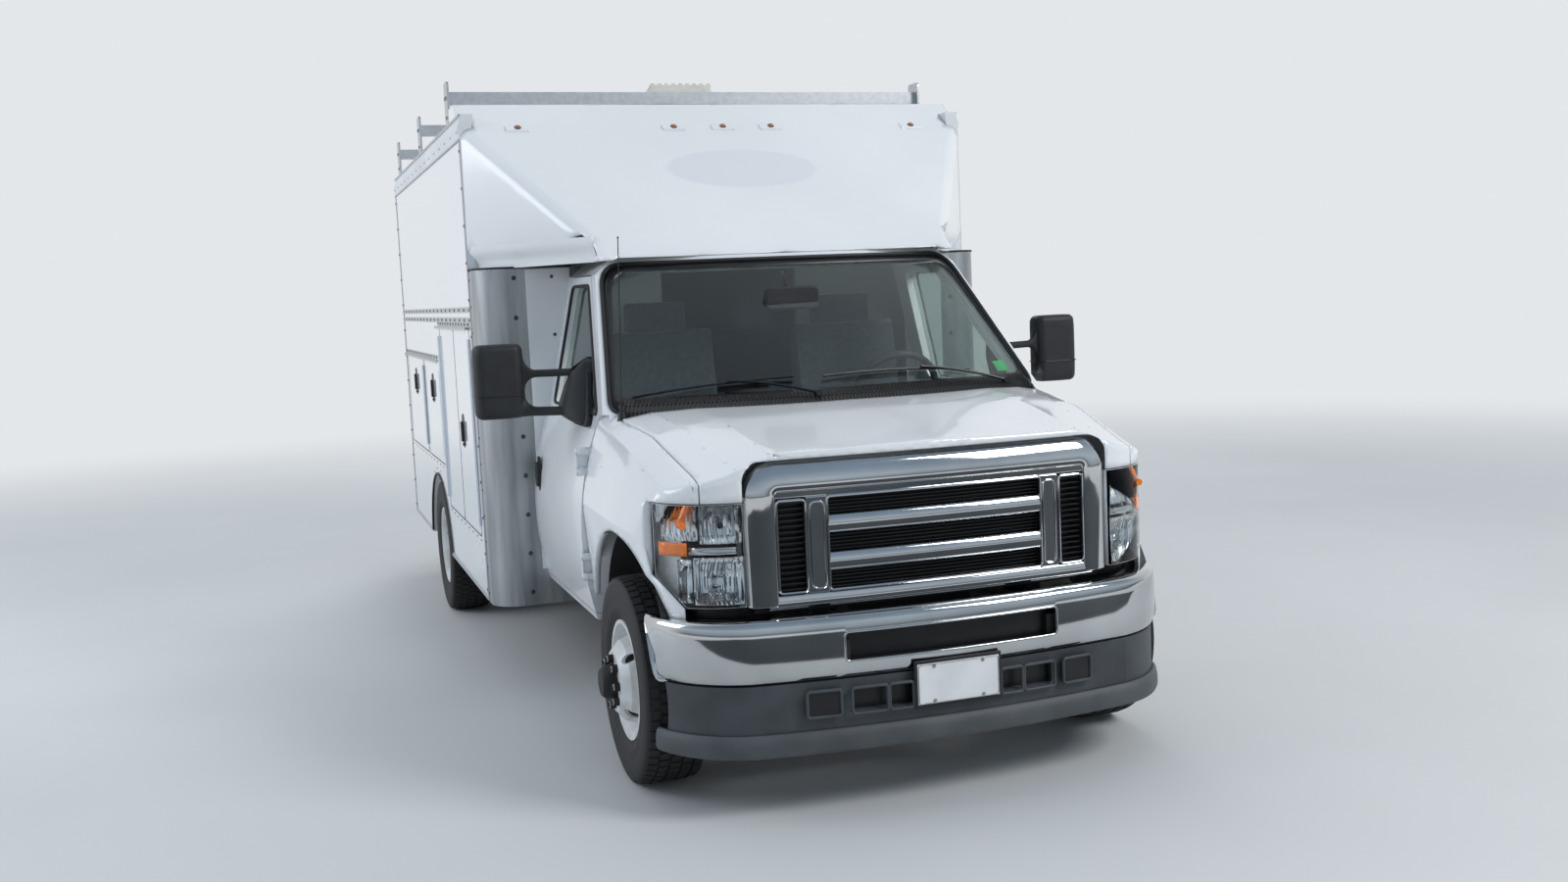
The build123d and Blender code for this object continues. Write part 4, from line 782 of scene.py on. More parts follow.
def headlamps():
    for side, label in ((1, "left"), (-1, "right")):
        bm = front_faces("headlamps", side)
        surface = BVHTree.FromBMesh(bm)
        rim = [e for e in bm.edges if e.is_boundary]
        skirt = bmesh.ops.extrude_edge_only(bm, edges=rim)["geom"]
        bmesh.ops.translate(bm, verts=[v for v in skirt if isinstance(v, bmesh.types.BMVert)],
                            vec=(-side * 0.012, 0.06, 0))
        bmesh.ops.delete(bm, geom=[f for f in bm.faces if f not in set(skirt)], context="FACES")
        finish_piece(f"lamp_skirt_{label}", bm, lamp_moulding, in_frame=True, wall=0.0015)
        bm = front_faces("headlamps", side)
        bmesh.ops.translate(bm, verts=bm.verts, vec=(-side * 0.014, 0.066, 0))
        finish_piece(f"lamp_housing_{label}", bm, lamp_moulding, in_frame=True,
                                 wall=0.002)
        bm = front_faces("headlamps", side)
        lens = finish_piece(f"lamp_lens_{label}", bm, lens_clear, in_frame=True, wall=0.002)
        lens.visible_shadow = False
        bm = bmesh.new()
        for pod in PODS:
            lamp_pod(bm, surface, side, pod)
        finish_piece(f"lamp_bowls_{label}", bm, reflector, sharp=4, wall=0.001)
        bm = bmesh.new()
        for x, z, radius in ((752, 790, 15), (742, 968, 13)):
            rod(bm, (side * x, -470, z), (side * x, -515, z), radius, radius * 0.8)
        finish_piece(f"lamp_bulbs_{label}", bm, chrome)
        bm = bmesh.new()
        rod(bm, (side * 856, -420, 974), (side * 856, -470, 974), 15, 12)
        lamp_pod(bm, surface, side, (878, 893, 34, 22, 6, 3), 4, 5)
        finish_piece(f"lamp_turn_{label}", bm, reflex_amber, wall=0.002)
        bm = bmesh.new()
        lamp_pod(bm, surface, side, (754, 888, 84, 11, 6, 2), 6, 8)
        finish_piece(f"lamp_shelf_{label}", bm, chrome, wall=0.002)
    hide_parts("headlamps")


AXLE_Z = 370.0
# The bumper in plan: its middle, where it turns, its sag there, the turn's middle and end
BUMPER_FACE = (-690.0, 690.0, 62.0, (870.0, 180.0), (958.0, -290.0))


def bumper_turn(out):
    """Plan points of the bumper's turn at +X, grown outward, without its first point."""
    face_y, turn_x, sag, mid, end = BUMPER_FACE
    return arc_through((turn_x, face_y + sag - out),
                       (mid[0] + out * 0.7, face_y + mid[1] - out * 0.7),
                       (end[0] + out, end[1]), 12)[1:]


def bumper_path(out):
    """Plan points round the bumper's face, grown outward."""
    face_y, turn_x, sag = BUMPER_FACE[:3]
    centre = arc_through((-turn_x, face_y + sag - out), (0, face_y - out),
                         (turn_x, face_y + sag - out), 22)
    turn = bumper_turn(out)
    return [(-x, y) for x, y in reversed(turn)] + centre + turn


def bumper_y(x, out=0.0):
    face_y, turn_x, sag = BUMPER_FACE[:3]
    return face_y + sag * (x / turn_x) ** 2 - out


def moulding(bm, profile, trim):
    """A moulding along the bumper, some points short of its ends, from (out, z) points."""
    layers = [bumper_path(out) for out, z in profile]
    sweep(bm, [[(*layer[i], z) for layer, (out, z) in zip(layers, profile)]
               for i in range(trim, len(layers[0]) - trim)])


# The bumper's section: (out from its face, height)
BUMPER_SKIN = [(-62, 664), (-16, 664), (-6, 661), (1, 653), (5, 640), (8, 607), (9, 560), (8, 517),
               (4, 482), (-3, 464), (-12, 456), (-22, 453), (-24, 458), (-13, 470), (-7, 517),
               (-5, 560), (-6, 607), (-11, 645), (-18, 655), (-62, 656)]
SLOT_HALF, TYRE_SWEEP = 385.0, 412.0


def bumper_side(bm, side, profile):
    """The bumper from its slot out round the corner, ending short of the tyre."""
    layers = []
    for out, z in profile:
        plan = [(x, bumper_y(x, out)) for x in stations(SLOT_HALF, BUMPER_FACE[1], 60)]
        plan += bumper_turn(out)
        stop = -math.sqrt(max(TYRE_SWEEP ** 2 - (z - AXLE_Z) ** 2, 0))
        layers.append([(side * x, min(y, stop), z) for x, y in plan])
    sweep(bm, [[layer[i] for layer in layers] for i in range(len(layers[0]))])


def bumper_and_valance():
    bm = bmesh.new()
    for side in (-1, 1):
        bumper_side(bm, side, BUMPER_SKIN)
    upper, lower = BUMPER_SKIN[:6] + BUMPER_SKIN[16:], BUMPER_SKIN[7:15]
    for part in (upper, lower):
        front_sweep(bm, -SLOT_HALF, SLOT_HALF, part, bumper_y)
    skin = finish_piece("bumper_skin", bm, chrome, sharp=50)
    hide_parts("front_bumper")
    bm = bmesh.new()
    for side in (-1, 1):
        cuboid(bm, side * 362, side * 410, -655, -535, 470, 580)
    finish_piece("bumper_arms", bm, chassis_paint)
    bm = bmesh.new()
    face_frame(bm, -388, 388, 514, 610, 16, 4, 9, bumper_y)
    finish_piece("bumper_beads", bm, chrome, sharp=50)
    bm = bmesh.new()
    crossbar(bm, -430, 430, 500, 625, -40, 6, bumper_y)
    finish_piece("bumper_slot_shade", bm, satin_black)
    bm = bmesh.new()
    # The lower lip takes the lighter grey: painted sunlight on the valance's own plastic
    moulding(bm, [(0, 292), (9, 284), (13, 262), (14, 232), (8, 217), (-6, 217), (-6, 292)], 2)
    finish_piece("valance_chin", bm, valance_grey_painted_sunlit, sharp=40)
    bm = bmesh.new()
    for side in (-1, 1):
        for x0, x1 in ((408, 522), (250, 372), (160, 244)):
            low, high = sorted((side * x0, side * x1))
            face_frame(bm, low, high, 338, 424, 12, 6, 10, bumper_y)
    finish_piece("valance_frames", bm, valance_grey)
    bm = bmesh.new()
    crossbar(bm, -378, 378, 332, 428, -30, 5, bumper_y)
    for side in (-1, 1):
        low, high = sorted((side * 412, side * 518))
        crossbar(bm, low, high, 342, 420, 9, 3, bumper_y)
    finish_piece("valance_shade", bm, satin_black)


def front_plate():
    y = -700
    bm = bmesh.new()
    cuboid(bm, -160, 160, y - 6, y + 4, 330, 490)
    finish_piece("plate_frame", bm, grained_black, bevel=0.006)
    bm = bmesh.new()
    cuboid(bm, -149, 149, y - 8.5, y - 4, 342, 478)
    finish_piece("blank_plate", bm, plate_white, bevel=0.002)
    bm = bmesh.new()
    for x in (-88.9, 88.9):
        for z in (468, 352):
            rod(bm, (x, y - 8, z), (x, y - 12, z), 7, 5)
    face_frame(bm, -146, 146, 345, 475, 10, 1.8, 9, lambda x, out: y - out)
    finish_piece("plate_screws", bm, zinc_plate)


grille()
headlamps()
bumper_and_valance()
front_plate()
ease_panel("hood", cab_enamel, 0.032, 14, holds=48, core=0.9)
ease_panel("fenders", cab_enamel, 0.03, 16, holds=48, core=0.9,
           fixed=lambda point: point.y > 0.39 + AXLE_STATION)
cap_skin = ease_panel("nose_cap", gelcoat_white, 0.035, 26, holds=178,
                      fixed=lambda point: point.z < 1.88 or point.y > 1.648 + AXLE_STATION)


def arch_liner(bm):
    profile = [(x, r) for x, r in ((640, 449), (925, 449), (925, 447), (640, 447))]
    rings = []
    for angle in stations(12, 168, 6):
        a = math.radians(angle)
        rings.append([(x, r * math.cos(a), ARCH_Z + r * math.sin(a)) for x, r in profile])
    sweep(bm, rings)


mirrored("arch_liner", arch_liner, grained_black)

# Cab sides: window seals, handles and mirrors

BELT, ROOF_RUN = (922.0, 1270.0), (802.0, 1820.0)


def cab_side(z, out=0.0):
    return BELT[0] + (z - BELT[1]) * (ROOF_RUN[0] - BELT[0]) / (ROOF_RUN[1] - BELT[1]) + out


def door_window(inset):
    low, high = 1288 + inset, 1776 - inset
    front = SCREEN_FOOT_Y + 98 + inset * 1.5
    return [(front, low), (front + (high - low) * SCREEN_RAKE, high), (1318 - inset, high),
            (1330 - inset, low)]


def window_seal(bm):
    outline = rounded(door_window(-3), 34, 5)
    tube(bm, [(cab_side(p.y, 1.5), p.x, p.y) for p in outline], 7, 8, closed=True)


def door_handle(bm):
    for z0, z1, out in ((895, 1055, 3), (925, 1030, 16)):
        cuboid(bm, 1000, 1000 + out + 6, 1304, 1352, z0, z1)


def mirror_glass(bm):
    for z0, z1 in ((1368, 1540), (1288, 1350)):
        cuboid(bm, 1152, 1312, 862, 868, z0, z1)


def mirror_seam(bm):
    outline = rounded([(1133, 753), (1332, 753), (1332, 867), (1133, 867)], 42, 5)
    tube(bm, [(p.x, p.y, 1358) for p in outline], 2.2, 6, closed=True)


mirrored("window_seal", window_seal, rubber_seal, BOTH_DOORS)
mirrored("door_handle", door_handle, satin_black, BOTH_DOORS, bevel=0.01)
mirrored("mirror_glass", mirror_glass, chrome, BOTH_DOORS, bevel=0.002)
mirrored("mirror_seam", mirror_seam, satin_black, BOTH_DOORS)
for side in SIDES:
    ease_panel(f"mirror_{side}", grained_black, 0.025, 14, holds=178,
               fixed=lambda point: abs(point.x) < 1.10)


def mirror_sail(bm):
    """The mirror's moulded foot, which fills the front corner of the window."""
    foot = rounded([(545, 1238), (790, 1242), (792, 1400), (740, 1478), (690, 1496)], 34, 4)
    crest = rounded([(620, 1262), (772, 1268), (772, 1392), (736, 1450), (704, 1458)], 34, 4)
    sweep(bm, [[(cab_side(p.y, -2), p.x, p.y) for p in foot],
               [(cab_side(p.y, 34), p.x + 6, p.y) for p in foot],
               [(cab_side(p.y, 78), p.x, p.y) for p in crest],
               [(cab_side(p.y, 92), 0.6 * p.x + 0.4 * 722,
                 0.6 * p.y + 0.4 * 1365) for p in crest]])


mirrored("mirror_sail", mirror_sail, grained_black, BOTH_DOORS, sharp=50)

# Nose cap: marker lamps on their pads, the neck under its cheeks, and the corner wings' bolts

MARKERS = (-955, -236, 0, 236, 955)
BODY_HALF, BODY_FRONT, CAB_REAR = 1212, 1660, 1452.3


def marker_pads():
    cap = bmesh.new()
    cap.from_mesh(cap_skin.data)
    surface = BVHTree.FromBMesh(cap)
    cap.free()
    pads, lenses, rims = bmesh.new(), bmesh.new(), bmesh.new()
    for x in MARKERS:
        hit, normal = surface.ray_cast(Vector((x / 1000, -4, 2.492)), Vector((0, 1, 0)))[:2]
        if normal.y > 0:
            normal = -normal
        place = Matrix.Translation(TO_FRAME.inverted() @ hit) @ turned(normal)
        bmesh.ops.create_cube(pads, size=1, matrix=place @ Matrix.Translation((0, 0, 2))
                              @ Matrix.Diagonal((112, 46, 12, 1)))
        for bm, radius, low, high in ((rims, 17, 6, 10), (lenses, 13, 8, 15)):
            bmesh.ops.create_cone(bm, cap_ends=True, segments=20, radius1=radius,
                                  radius2=radius * 0.86, depth=high - low,
                                  matrix=place @ Matrix.Translation((0, 0, (low + high) / 2)))
    pad = finish_piece("marker_pads", pads, gelcoat_white, bevel=0.006)
    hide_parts("marker_lamps")
    finish_piece("marker_lenses", lenses, lens_brown, bevel=0.002)
    finish_piece("marker_rims", rims, grained_black)


# The neck's section: (inset from the cheek, height)
CAP_NECK = [(2, 1978), (3, 1962), (8, 1946), (17, 1931), (27, 1917), (33, 1902), (35, 1888),
            (35, 1874), (58, 1874), (58, 1978)]


def cap_neck(bm):
    """The cap's neck under its cheek: a hollow curve in from the cheek, down to the cab's roof."""
    rings = []
    for t in (i / 12 for i in range(13)):
        ring = []
        for inset, z in CAP_NECK:
            rear = Vector((BODY_HALF - inset, BODY_FRONT + 0.6 * inset))
            foot = Vector((800 - 0.7 * inset, 950 + inset))
            start = rear.lerp(foot, (rear.y - 1657) / (rear.y - foot.y))
            point = start.lerp(foot, t)
            ring.append((point.x, point.y, z))
        rings.append(ring)
    sweep(bm, rings)


def neck_flange(bm):
    outer = [(x, y) for x, y, _ in wing_line(0, 0)]
    prism(bm, [(x, y, 1867) for x, y in outer + [(1130, 1657), (1000, 1460)]], (0, 0, 7))


def wing_line(out, z):
    """Plan points round a corner wing, from the cab's side to the body's."""
    bend = arc_through((1085, CAB_REAR - out),
                       (1085 + 0.72 * 127, CAB_REAR + 0.28 * 147.7 - out * 0.7),
                       (BODY_HALF + out, 1600), 10)
    return [(790, CAB_REAR - out, z)] + [(x, y, z) for x, y in bend] + [(BODY_HALF + out, 1655, z)]


def neck_seal(bm):
    tube(bm, wing_line(1, 1875), 5, 6)


def wing_fasteners(bm):
    rivet_row(bm, [(1046, CAB_REAR, z) for z in stations(440, 1830, 174)], (0, -1, 0), 11, 6)
    rivet_row(bm, [(880, 1448, z) for z in stations(560, 1830, 254)], (0, -1, 0), 8, 4)
    rivet_row(bm, [(BODY_HALF, 1640, z) for z in stations(420, 1830, 120)], (1, 0, 0), 7, 3)


def wing_inner_sheet(bm):
    cuboid(bm, 800, 996, 1448.5, 1452.5, 540, 1866)


marker_pads()
mirrored("cap_neck", cap_neck, gelcoat_white, sharp=60)
mirrored("neck_flange", neck_flange, gelcoat_white)
mirrored("neck_seal", neck_seal, rubber_seal)
mirrored("wing_fasteners", wing_fasteners, dark_rivet)
mirrored("wing_inner_sheet", wing_inner_sheet, cab_enamel, bevel=0.001)

# Service body: rivets, belts, drip caps, door seals, latches and the rear doors' lock bars

LOCKERS = [
    # front, rear, low, high, latch station, latch height
    (1782, 2376, 664, 1612, 2200, 1120),
    (2383, 2978, 664, 1612, None, None),
    (3052, 3886, 871, 1428, 3469, 1271),
    (3942, 4890, 871, 1428, 4416, 1271),
]
BODY_END, REAR_FACE = 5013, 5012.0
REAR_DOORS = ("rear_door_left", "rear_door_right")


def body_strips(bm):
    for z in (1653, 1700):
        cuboid(bm, BODY_HALF - 1, 1214.5, 1662, BODY_END - 2, z - 13, z + 13)
    for y0, y1 in ((1661, 1692), (BODY_END - 32, BODY_END - 1)):
        cuboid(bm, BODY_HALF - 1, 1215, y0, y1, 382, 2446)
    cuboid(bm, BODY_HALF - 1, 1216, 1662, 3050, 381, 404)
    cuboid(bm, BODY_HALF - 1, 1216, 4010, BODY_END - 2, 381, 404)
    for y0, y1, z in ((1752, 3008, 1632), (3028, 4914, 1446)):
        cuboid(bm, BODY_HALF - 1, 1215, y0, y1, z - 14, z + 14)
        cuboid(bm, 1213, 1232, y0, y1, z - 16, z - 12)
        cuboid(bm, 1229, 1232, y0, y1, z - 25, z - 12)


def body_rivets(bm):
    out = (1, 0, 0)
    rivet_row(bm, [(1214.5, y, z) for z in (1653, 1700) for y in stations(1700, 4975, 182)], out,
              9, 4)
    rivet_row(bm, [(1215, y, 1634) for y in stations(1775, 2985, 110)], out, 8, 4)
    rivet_row(bm, [(1215, y, 1450) for y in stations(3050, 4890, 115)], out, 8, 4)
    rivet_row(bm, [(1215, y, z) for y in (1676, BODY_END - 16) for z in stations(430, 2400, 164)],
              out, 8, 4)
    rivet_row(bm, [(BODY_HALF, y, 640) for y in stations(1800, 2960, 145)], out, 5.5, 2.5)
    rivet_row(bm, [(BODY_HALF, y, 846) for y in stations(3060, 4880, 152)], out, 5.5, 2.5)
    for pair_shift in (0, 34):
        rivet_row(bm, [(1216, y + pair_shift, 2486) for y in stations(1690, 4930, 240)],
                  (1, 0, 0.1), 8, 3)
    for angle in range(20, 165, 16):
        a = math.radians(angle)
        point = (BODY_HALF, 3505 + 545 * math.cos(a), 263 + 545 * math.sin(a))
        if point[2] > 420:
            rivet_row(bm, [point], out, 5.5, 2.5)


def rail_lips(bm):
    tube(bm, [(1216, 1661, 2449), (1216, BODY_END - 1, 2449)], 4, 6)
    tube(bm, [(1208, 1661, 2556), (1208, BODY_END - 1, 2556)], 6, 6)


def locker_seals(bm):
    for front, rear, low, high, _, _ in LOCKERS:
        outline = rounded([(front - 3, low - 3), (rear + 3, low - 3), (rear + 3, high + 3),
                           (front - 3, high + 3)], 26, 4)
        tube(bm, [(1209.5, p.x, p.y) for p in outline], 3.6, 6, closed=True)


def arch_trim(bm):
    half = math.acos((392 - 263) / 512)
    path = [(1213, 3505 + 515 * math.sin(a), 263 + 515 * math.cos(a))
            for a in (half * (i / 16 - 1) for i in range(33))]
    tube(bm, path, 7, 8)


def latch_bezel(y, z):
    def build(bm):
        oval = Matrix.Translation((1213.5, y, z)) @ Matrix.Rotation(math.pi / 2, 4, "Y")
        bmesh.ops.create_cone(bm, cap_ends=True, segments=28, radius1=44, radius2=40, depth=6,
                              matrix=oval @ Matrix.Diagonal((1.95, 1, 1, 1)))
        cuboid(bm, 1214, 1226, y - 16, y + 16, z - 52, z + 44)
        rod(bm, (1216, y, z - 66), (1221, y, z - 66), 8, 7, 12)
    return build


def latch_rods(bm):
    """A rear door's upright lock bar with its guides, end plates and lever."""
    x, y = 92, REAR_FACE + 22
    rod(bm, (x, y, 800), (x, y, 2300), 12)
    for z in (815, 1020, 1560, 2080, 2285):
        cuboid(bm, x - 34, x + 34, REAR_FACE - 2, REAR_FACE + 4, z - 18, z + 18)
        cuboid(bm, x - 19, x + 19, REAR_FACE, y + 16, z - 14, z + 14)
    cuboid(bm, x - 15, x + 15, y - 8, y + 24, 1268, 1312)
    cuboid(bm, x, x + 290, y + 12, y + 22, 1276, 1304)
    cuboid(bm, x + 236, x + 262, REAR_FACE - 2, y + 26, 1262, 1318)


def rear_seal(bm):
    """The bulb seal round one rear door's opening."""
    outline = rounded([(6, 774), (776, 774), (776, 2326), (6, 2326)], 10, 3)
    tube(bm, [(p.x, REAR_FACE + 1, p.y) for p in outline], 4, 6, closed=True)


mirrored("rear_latch_rods", latch_rods, zinc_plate, REAR_DOORS, bevel=0.002)
mirrored("rear_door_seal", rear_seal, rubber_seal, REAR_DOORS)
mirrored("body_strips", body_strips, aluminium_extrusion, bevel=0.001)
mirrored("body_rivets", body_rivets, dark_rivet)
mirrored("rail_lips", rail_lips, aluminium_extrusion)
mirrored("locker_seals", locker_seals, rubber_seal)
mirrored("arch_trim", arch_trim, rubber_seal)
for number, locker in enumerate(LOCKERS, 1):
    if locker[4]:
        mirrored(f"latch_{number}", latch_bezel(locker[4], locker[5]), satin_black,
                 tuple(f"locker_door_{number}_{side}" for side in SIDES), bevel=0.003)

# Wheels: treaded tyres, nuts, hub covers and valves

FRONT_WHEEL_X, REAR_WHEEL_X, DUAL_SPACING = 872.0, 1097.0, 292.0
WHEELBASE = 3505.0


def tyre_skin(bm, x, y):
    """A tyre with ribbed shoulders. Its tread blocks stand 8 mm over this skin."""
    half = [(90, 362), (104, 357), (110, 340), (112.5, 312), (111, 290), (108, 268), (110, 258),
            (104, 240), (94, 222), (92, 215)]
    lathe(bm, half + [(-along, radius) for along, radius in reversed(half)], (x, y, AXLE_Z),
          steps=64)


TREAD_RIBS = [(-101, -68), (-58, -27), (-17, 17), (27, 58), (68, 101)]


def tread_blocks(bm, x, y, pitches=60):
    for count in range(pitches):
        for rib, (x0, x1) in enumerate(TREAD_RIBS):
            angle = 2 * math.pi * (count + (rib % 2) * 0.5) / pitches
            turn = Matrix.Translation((x, y, AXLE_Z)) @ Matrix.Rotation(angle, 4, "X")
            low = 356 if rib in (0, 4) else 360
            middle = Matrix.Translation(((x0 + x1) / 2, 0, (low + 369.5) / 2))
            size = Matrix.Diagonal((x1 - x0, 30, 369.5 - low, 1))
            block = bmesh.ops.create_cube(bm, size=1, matrix=turn @ middle @ size)
            for vert in block["verts"]:
                if rib in (0, 4) and abs(vert.co.x - x) > 95:
                    vert.co += (Vector((x, y, AXLE_Z)) - vert.co).normalized() * 6


def nut_ring(bm, x, y, outward, circle=82.55):
    for count in range(8):
        a = 2 * math.pi * count / 8
        foot = Vector((x, y + circle * math.cos(a), AXLE_Z + circle * math.sin(a)))
        rod(bm, foot, foot + Vector((outward, 0, 0)), 17, 15, 6)
        rod(bm, foot + Vector((outward, 0, 0)), foot + Vector((outward + 9, 0, 0)), 11, 8, 8)


def front_hub(bm):
    face = FRONT_WHEEL_X + 138
    nut_ring(bm, face - 2, 0, 22)
    lathe(bm, [(0, 0.5), (0, 66), (20, 62), (41, 57), (53, 46), (54, 0.5)], (face - 4, 0, AXLE_Z),
          steps=32)


def rear_hub(bm):
    face = REAR_WHEEL_X - 138
    nut_ring(bm, face - 2, WHEELBASE, 24)
    lathe(bm, [(0, 0.5), (0, 66), (60, 63), (153, 58), (165, 46), (166, 0.5)],
          (face - 4, WHEELBASE, AXLE_Z), steps=32)


def valve(x, y, radius):
    def build(bm):
        rod(bm, (x, y + radius, AXLE_Z + 40), (x + 34, y + radius - 6, AXLE_Z + 40), 5, 4, 8)
    return build


def tyres():
    sites = [("front", (FRONT_WHEEL_X,), 0.0, pair("front_wheel"), pair("front_tyre")),
             ("rear", (REAR_WHEEL_X, REAR_WHEEL_X - DUAL_SPACING), WHEELBASE, pair("rear_wheels"),
              pair("rear_tyres"))]
    for label, xs, y, bodies, stood_for in sites:
        def skins(bm):
            for x in xs:
                tyre_skin(bm, x, y)

        def blocks(bm):
            for x in xs:
                tread_blocks(bm, x, y)

        for piece, node in zip(mirrored(f"{label}_tyre_skin", skins, tyre_side, bodies, sharp=60),
                               stood_for):
            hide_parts(node)
        mirrored(f"{label}_tyre_blocks", blocks, tyre_tread, bodies, sharp=20)


tyres()
mirrored("front_hub", front_hub, hub_casting, pair("front_wheel"), bevel=0.0015)
mirrored("rear_hub", rear_hub, hub_casting, pair("rear_wheels"), bevel=0.0015)
mirrored("front_valve", valve(FRONT_WHEEL_X + 84, 0, 168), zinc_plate, pair("front_wheel"))
mirrored("rear_valve", valve(REAR_WHEEL_X + 40, WHEELBASE, 168), zinc_plate, pair("rear_wheels"))

# Roof vent and rack fasteners

VENT_PIN, LID_ANGLE = (2742.0, 2634.0), math.radians(10)


def vent_ribs():
    """The lid's ribbed crown, deepest at its front edge."""
    bm = bmesh.new()
    prism(bm, [(-158, -426, 39), (-158, -426, 78), (-158, -70, 52), (-158, -70, 39)], (316, 0, 0))
    for x in stations(-146, 146, 36):
        rod(bm, (x, -426, 74), (x, -70, 48), 15, 13, 12)
    bm.transform(Matrix.Translation((0, *VENT_PIN)) @ Matrix.Rotation(-LID_ANGLE, 4, "X"))
    finish_piece("vent_ribs", bm, vent_moulding, "vent_lid", bevel=0.002)


def rack_bolts(bm):
    for station in (2110, 3400, 4690):
        for y, z in ((station + 5, 2690), (station + 40, 2690), (station + 22, 2600)):
            rod(bm, (1202, y, z), (1209, y, z), 9, 8, 6)


vent_ribs()
mirrored("rack_bolts", rack_bolts, zinc_plate)

# Camera at the photograph's angle, and the studio

CAMERA_PLACE = Vector((-2.0938, -5.1328 + AXLE_STATION, 1.7134))
CAMERA_YAW, CAMERA_PITCH, CAMERA_ROLL = (math.radians(a) for a in (18.934, 5.653, -2.594))


def aim_camera():
    data = bpy.data.cameras.new("photo_view")
    data.sensor_width = 36.0
    data.lens = 34.376
    camera = bpy.data.objects.new("photo_view", data)
    scene.collection.objects.link(camera)
    ahead = Vector((math.sin(CAMERA_YAW) * math.cos(CAMERA_PITCH),
                    math.cos(CAMERA_YAW) * math.cos(CAMERA_PITCH), -math.sin(CAMERA_PITCH)))
    level = Vector((math.cos(CAMERA_YAW), -math.sin(CAMERA_YAW), 0))
    over = level.cross(ahead)
    right = math.cos(CAMERA_ROLL) * level + math.sin(CAMERA_ROLL) * over
    up = -math.sin(CAMERA_ROLL) * level + math.cos(CAMERA_ROLL) * over
    turn = Matrix((right, up, -ahead)).transposed().to_4x4()
    camera.matrix_world = Matrix.Translation(CAMERA_PLACE) @ turn
    scene.camera = camera


def studio_lamp(name, place, target, width, height, power, colour="#ffffff"):
    data = bpy.data.lights.new(name, "AREA")
    data.shape = "RECTANGLE"
    data.size, data.size_y, data.energy = width, height, power
    data.color = srgb(colour)[:3]
    lamp = bpy.data.objects.new(name, data)
    scene.collection.objects.link(lamp)
    direction = Vector(target) - Vector(place)
    lamp.matrix_world = (Matrix.Translation(place)
                         @ direction.to_track_quat("-Z", "Y").to_matrix().to_4x4())


BACKDROP = "#e4e7ea"


def fading_floor():
    """A pale floor that takes shadows near the van and melts into the backdrop far off."""
    material = mottled("studio_floor_pale", None, "#cdcecd", "#d3d4d3", 0.4, (0.75, 0.85), 0.05,
                       30.0)
    tree = material.node_tree
    place = add_node(material, "ShaderNodeTexCoord")
    reach = add_node(material, "ShaderNodeVectorMath", [(0, place.outputs["Object"])],
                     operation="LENGTH")
    fade = add_node(material, "ShaderNodeMapRange", [("Value", reach.outputs["Value"])],
                    From_Min=6.0, From_Max=15.0, interpolation_type="SMOOTHSTEP")
    glow = add_node(material, "ShaderNodeEmission", Color=srgb(BACKDROP), Strength=1.0)
    chosen = add_node(material, "ShaderNodeMixShader",
                      [(0, fade.outputs["Result"]),
                       (1, tree.nodes["Principled BSDF"].outputs["BSDF"]),
                       (2, glow.outputs["Emission"])])
    tree.links.new(chosen.outputs["Shader"], tree.nodes["Material Output"].inputs["Surface"])
    return material


SKY = [(0.0, "#59636c"), (0.07, "#aab6c1"), (0.2, "#c5d0da"), (0.55, "#93a5b8"), (1.0, "#8494a6")]


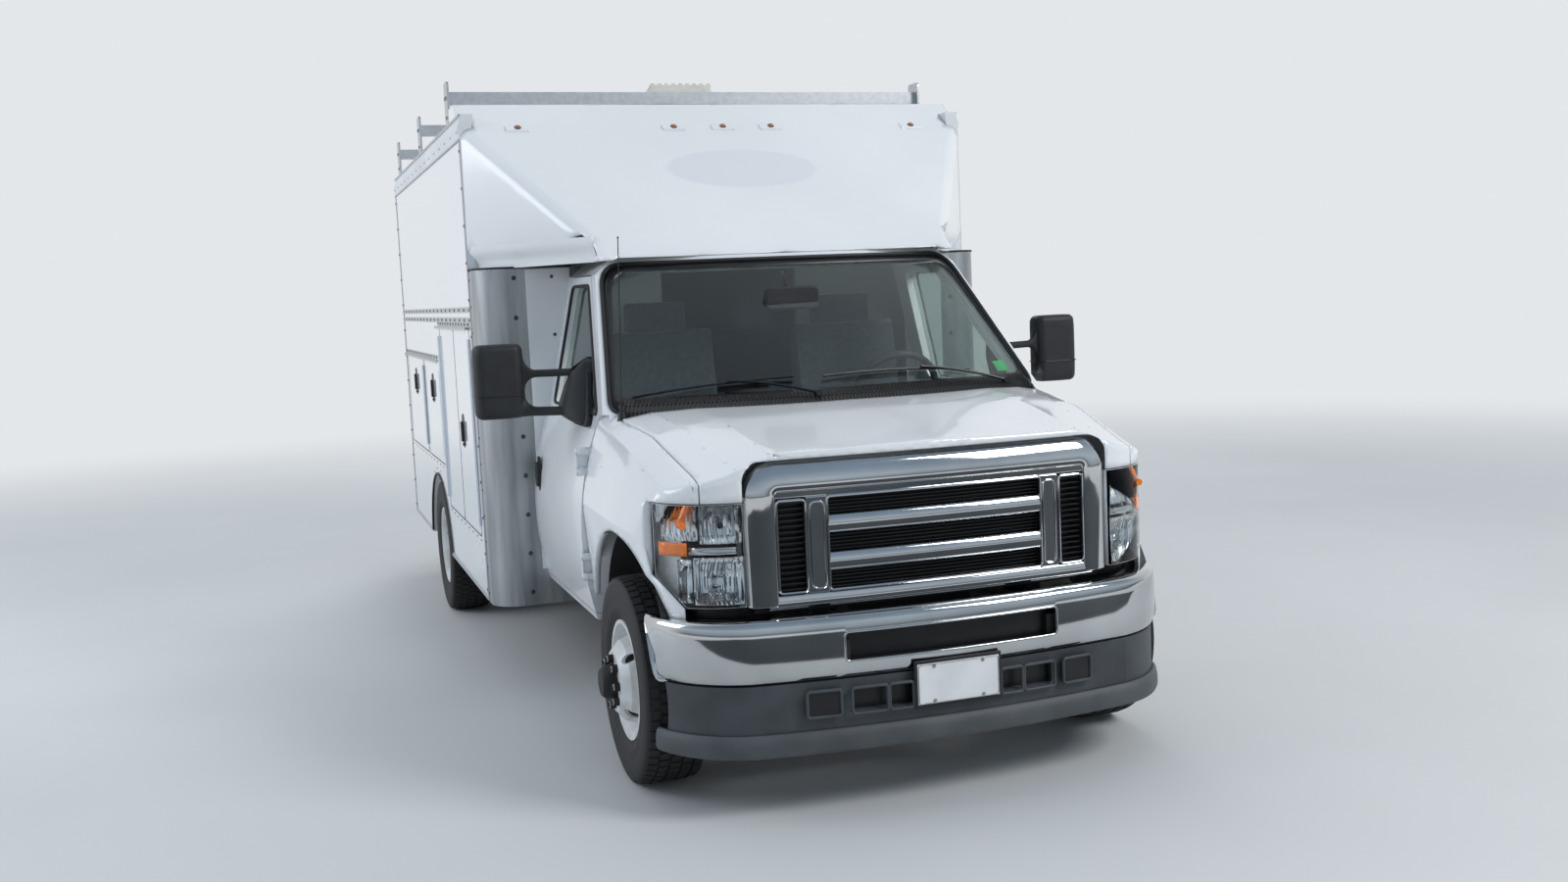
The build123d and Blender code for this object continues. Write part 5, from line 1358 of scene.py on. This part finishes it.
def studio_world():
    """Pale behind the van, and a darker horizon under open sky behind the camera for the metal."""
    world = bpy.data.worlds.new("studio_sky")
    scene.world = world
    world.use_nodes = True
    place = add_node(world, "ShaderNodeTexCoord")
    split = add_node(world, "ShaderNodeSeparateXYZ", [("Vector", place.outputs["Generated"])])
    sky = add_node(world, "ShaderNodeValToRGB", [("Fac", split.outputs["Z"])])
    stops = sky.color_ramp.elements
    while len(stops) < len(SKY):
        stops.new(0.5)
    for stop, (position, colour) in zip(stops, SKY):
        stop.position, stop.color = position, srgb(colour)
    side = add_node(world, "ShaderNodeMapRange", [("Value", split.outputs["Y"])],
                    From_Min=-0.15, From_Max=0.35, interpolation_type="SMOOTHSTEP")
    mixed = add_node(world, "ShaderNodeMix", data_type="RGBA")
    for socket, source in ((0, side.outputs["Result"]), (6, sky.outputs["Color"])):
        world.node_tree.links.new(source, mixed.inputs[socket])
    mixed.inputs[7].default_value = srgb(BACKDROP)
    rays = add_node(world, "ShaderNodeLightPath")
    seen = add_node(world, "ShaderNodeMix", data_type="RGBA")
    for socket, source in ((0, rays.outputs["Is Camera Ray"]), (6, mixed.outputs[2])):
        world.node_tree.links.new(source, seen.inputs[socket])
    seen.inputs[7].default_value = srgb(BACKDROP)
    background = world.node_tree.nodes["Background"]
    background.inputs["Strength"].default_value = 1.0
    world.node_tree.links.new(seen.outputs[2], background.inputs["Color"])


def black_flag():
    """A dark card on the floor before the bumper, unseen, for the chrome to reflect."""
    bm = bmesh.new()
    bmesh.ops.create_grid(bm, x_segments=1, y_segments=1, size=1)
    bm.transform(Matrix.Translation((0, -8.4, 0.003)) @ Matrix.Diagonal((7.0, 4.0, 1, 1)))
    mesh = bpy.data.meshes.new("black_flag")
    bm.to_mesh(mesh)
    bm.free()
    card = bpy.data.objects.new("black_flag", mesh)
    scene.collection.objects.link(card)
    mesh.materials.append(mottled("black_flag_cloth", None, "#383b3f", "#404448", 2.0,
                                  (0.85, 0.95)))
    card.visible_camera = card.visible_diffuse = card.visible_shadow = False


def build_studio():
    bm = bmesh.new()
    bmesh.ops.create_grid(bm, x_segments=1, y_segments=1, size=200)
    mesh = bpy.data.meshes.new("studio_floor")
    bm.to_mesh(mesh)
    bm.free()
    floor = bpy.data.objects.new("studio_floor", mesh)
    scene.collection.objects.link(floor)
    mesh.materials.append(fading_floor())
    studio_world()
    black_flag()
    studio_lamp("key_lamp", (6.5, -9.0, 8.0), (0, -1.5, 1.0), 4.0, 4.0, 700)
    studio_lamp("side_lamp", (-9.0, 1.0, 5.0), (0, 0.5, 1.2), 6.0, 4.0, 300, "#eef4ff")
    studio_lamp("back_lamp", (3.0, 11.0, 7.0), (0, 1.0, 1.5), 6.0, 4.0, 250)


aim_camera()
build_studio()
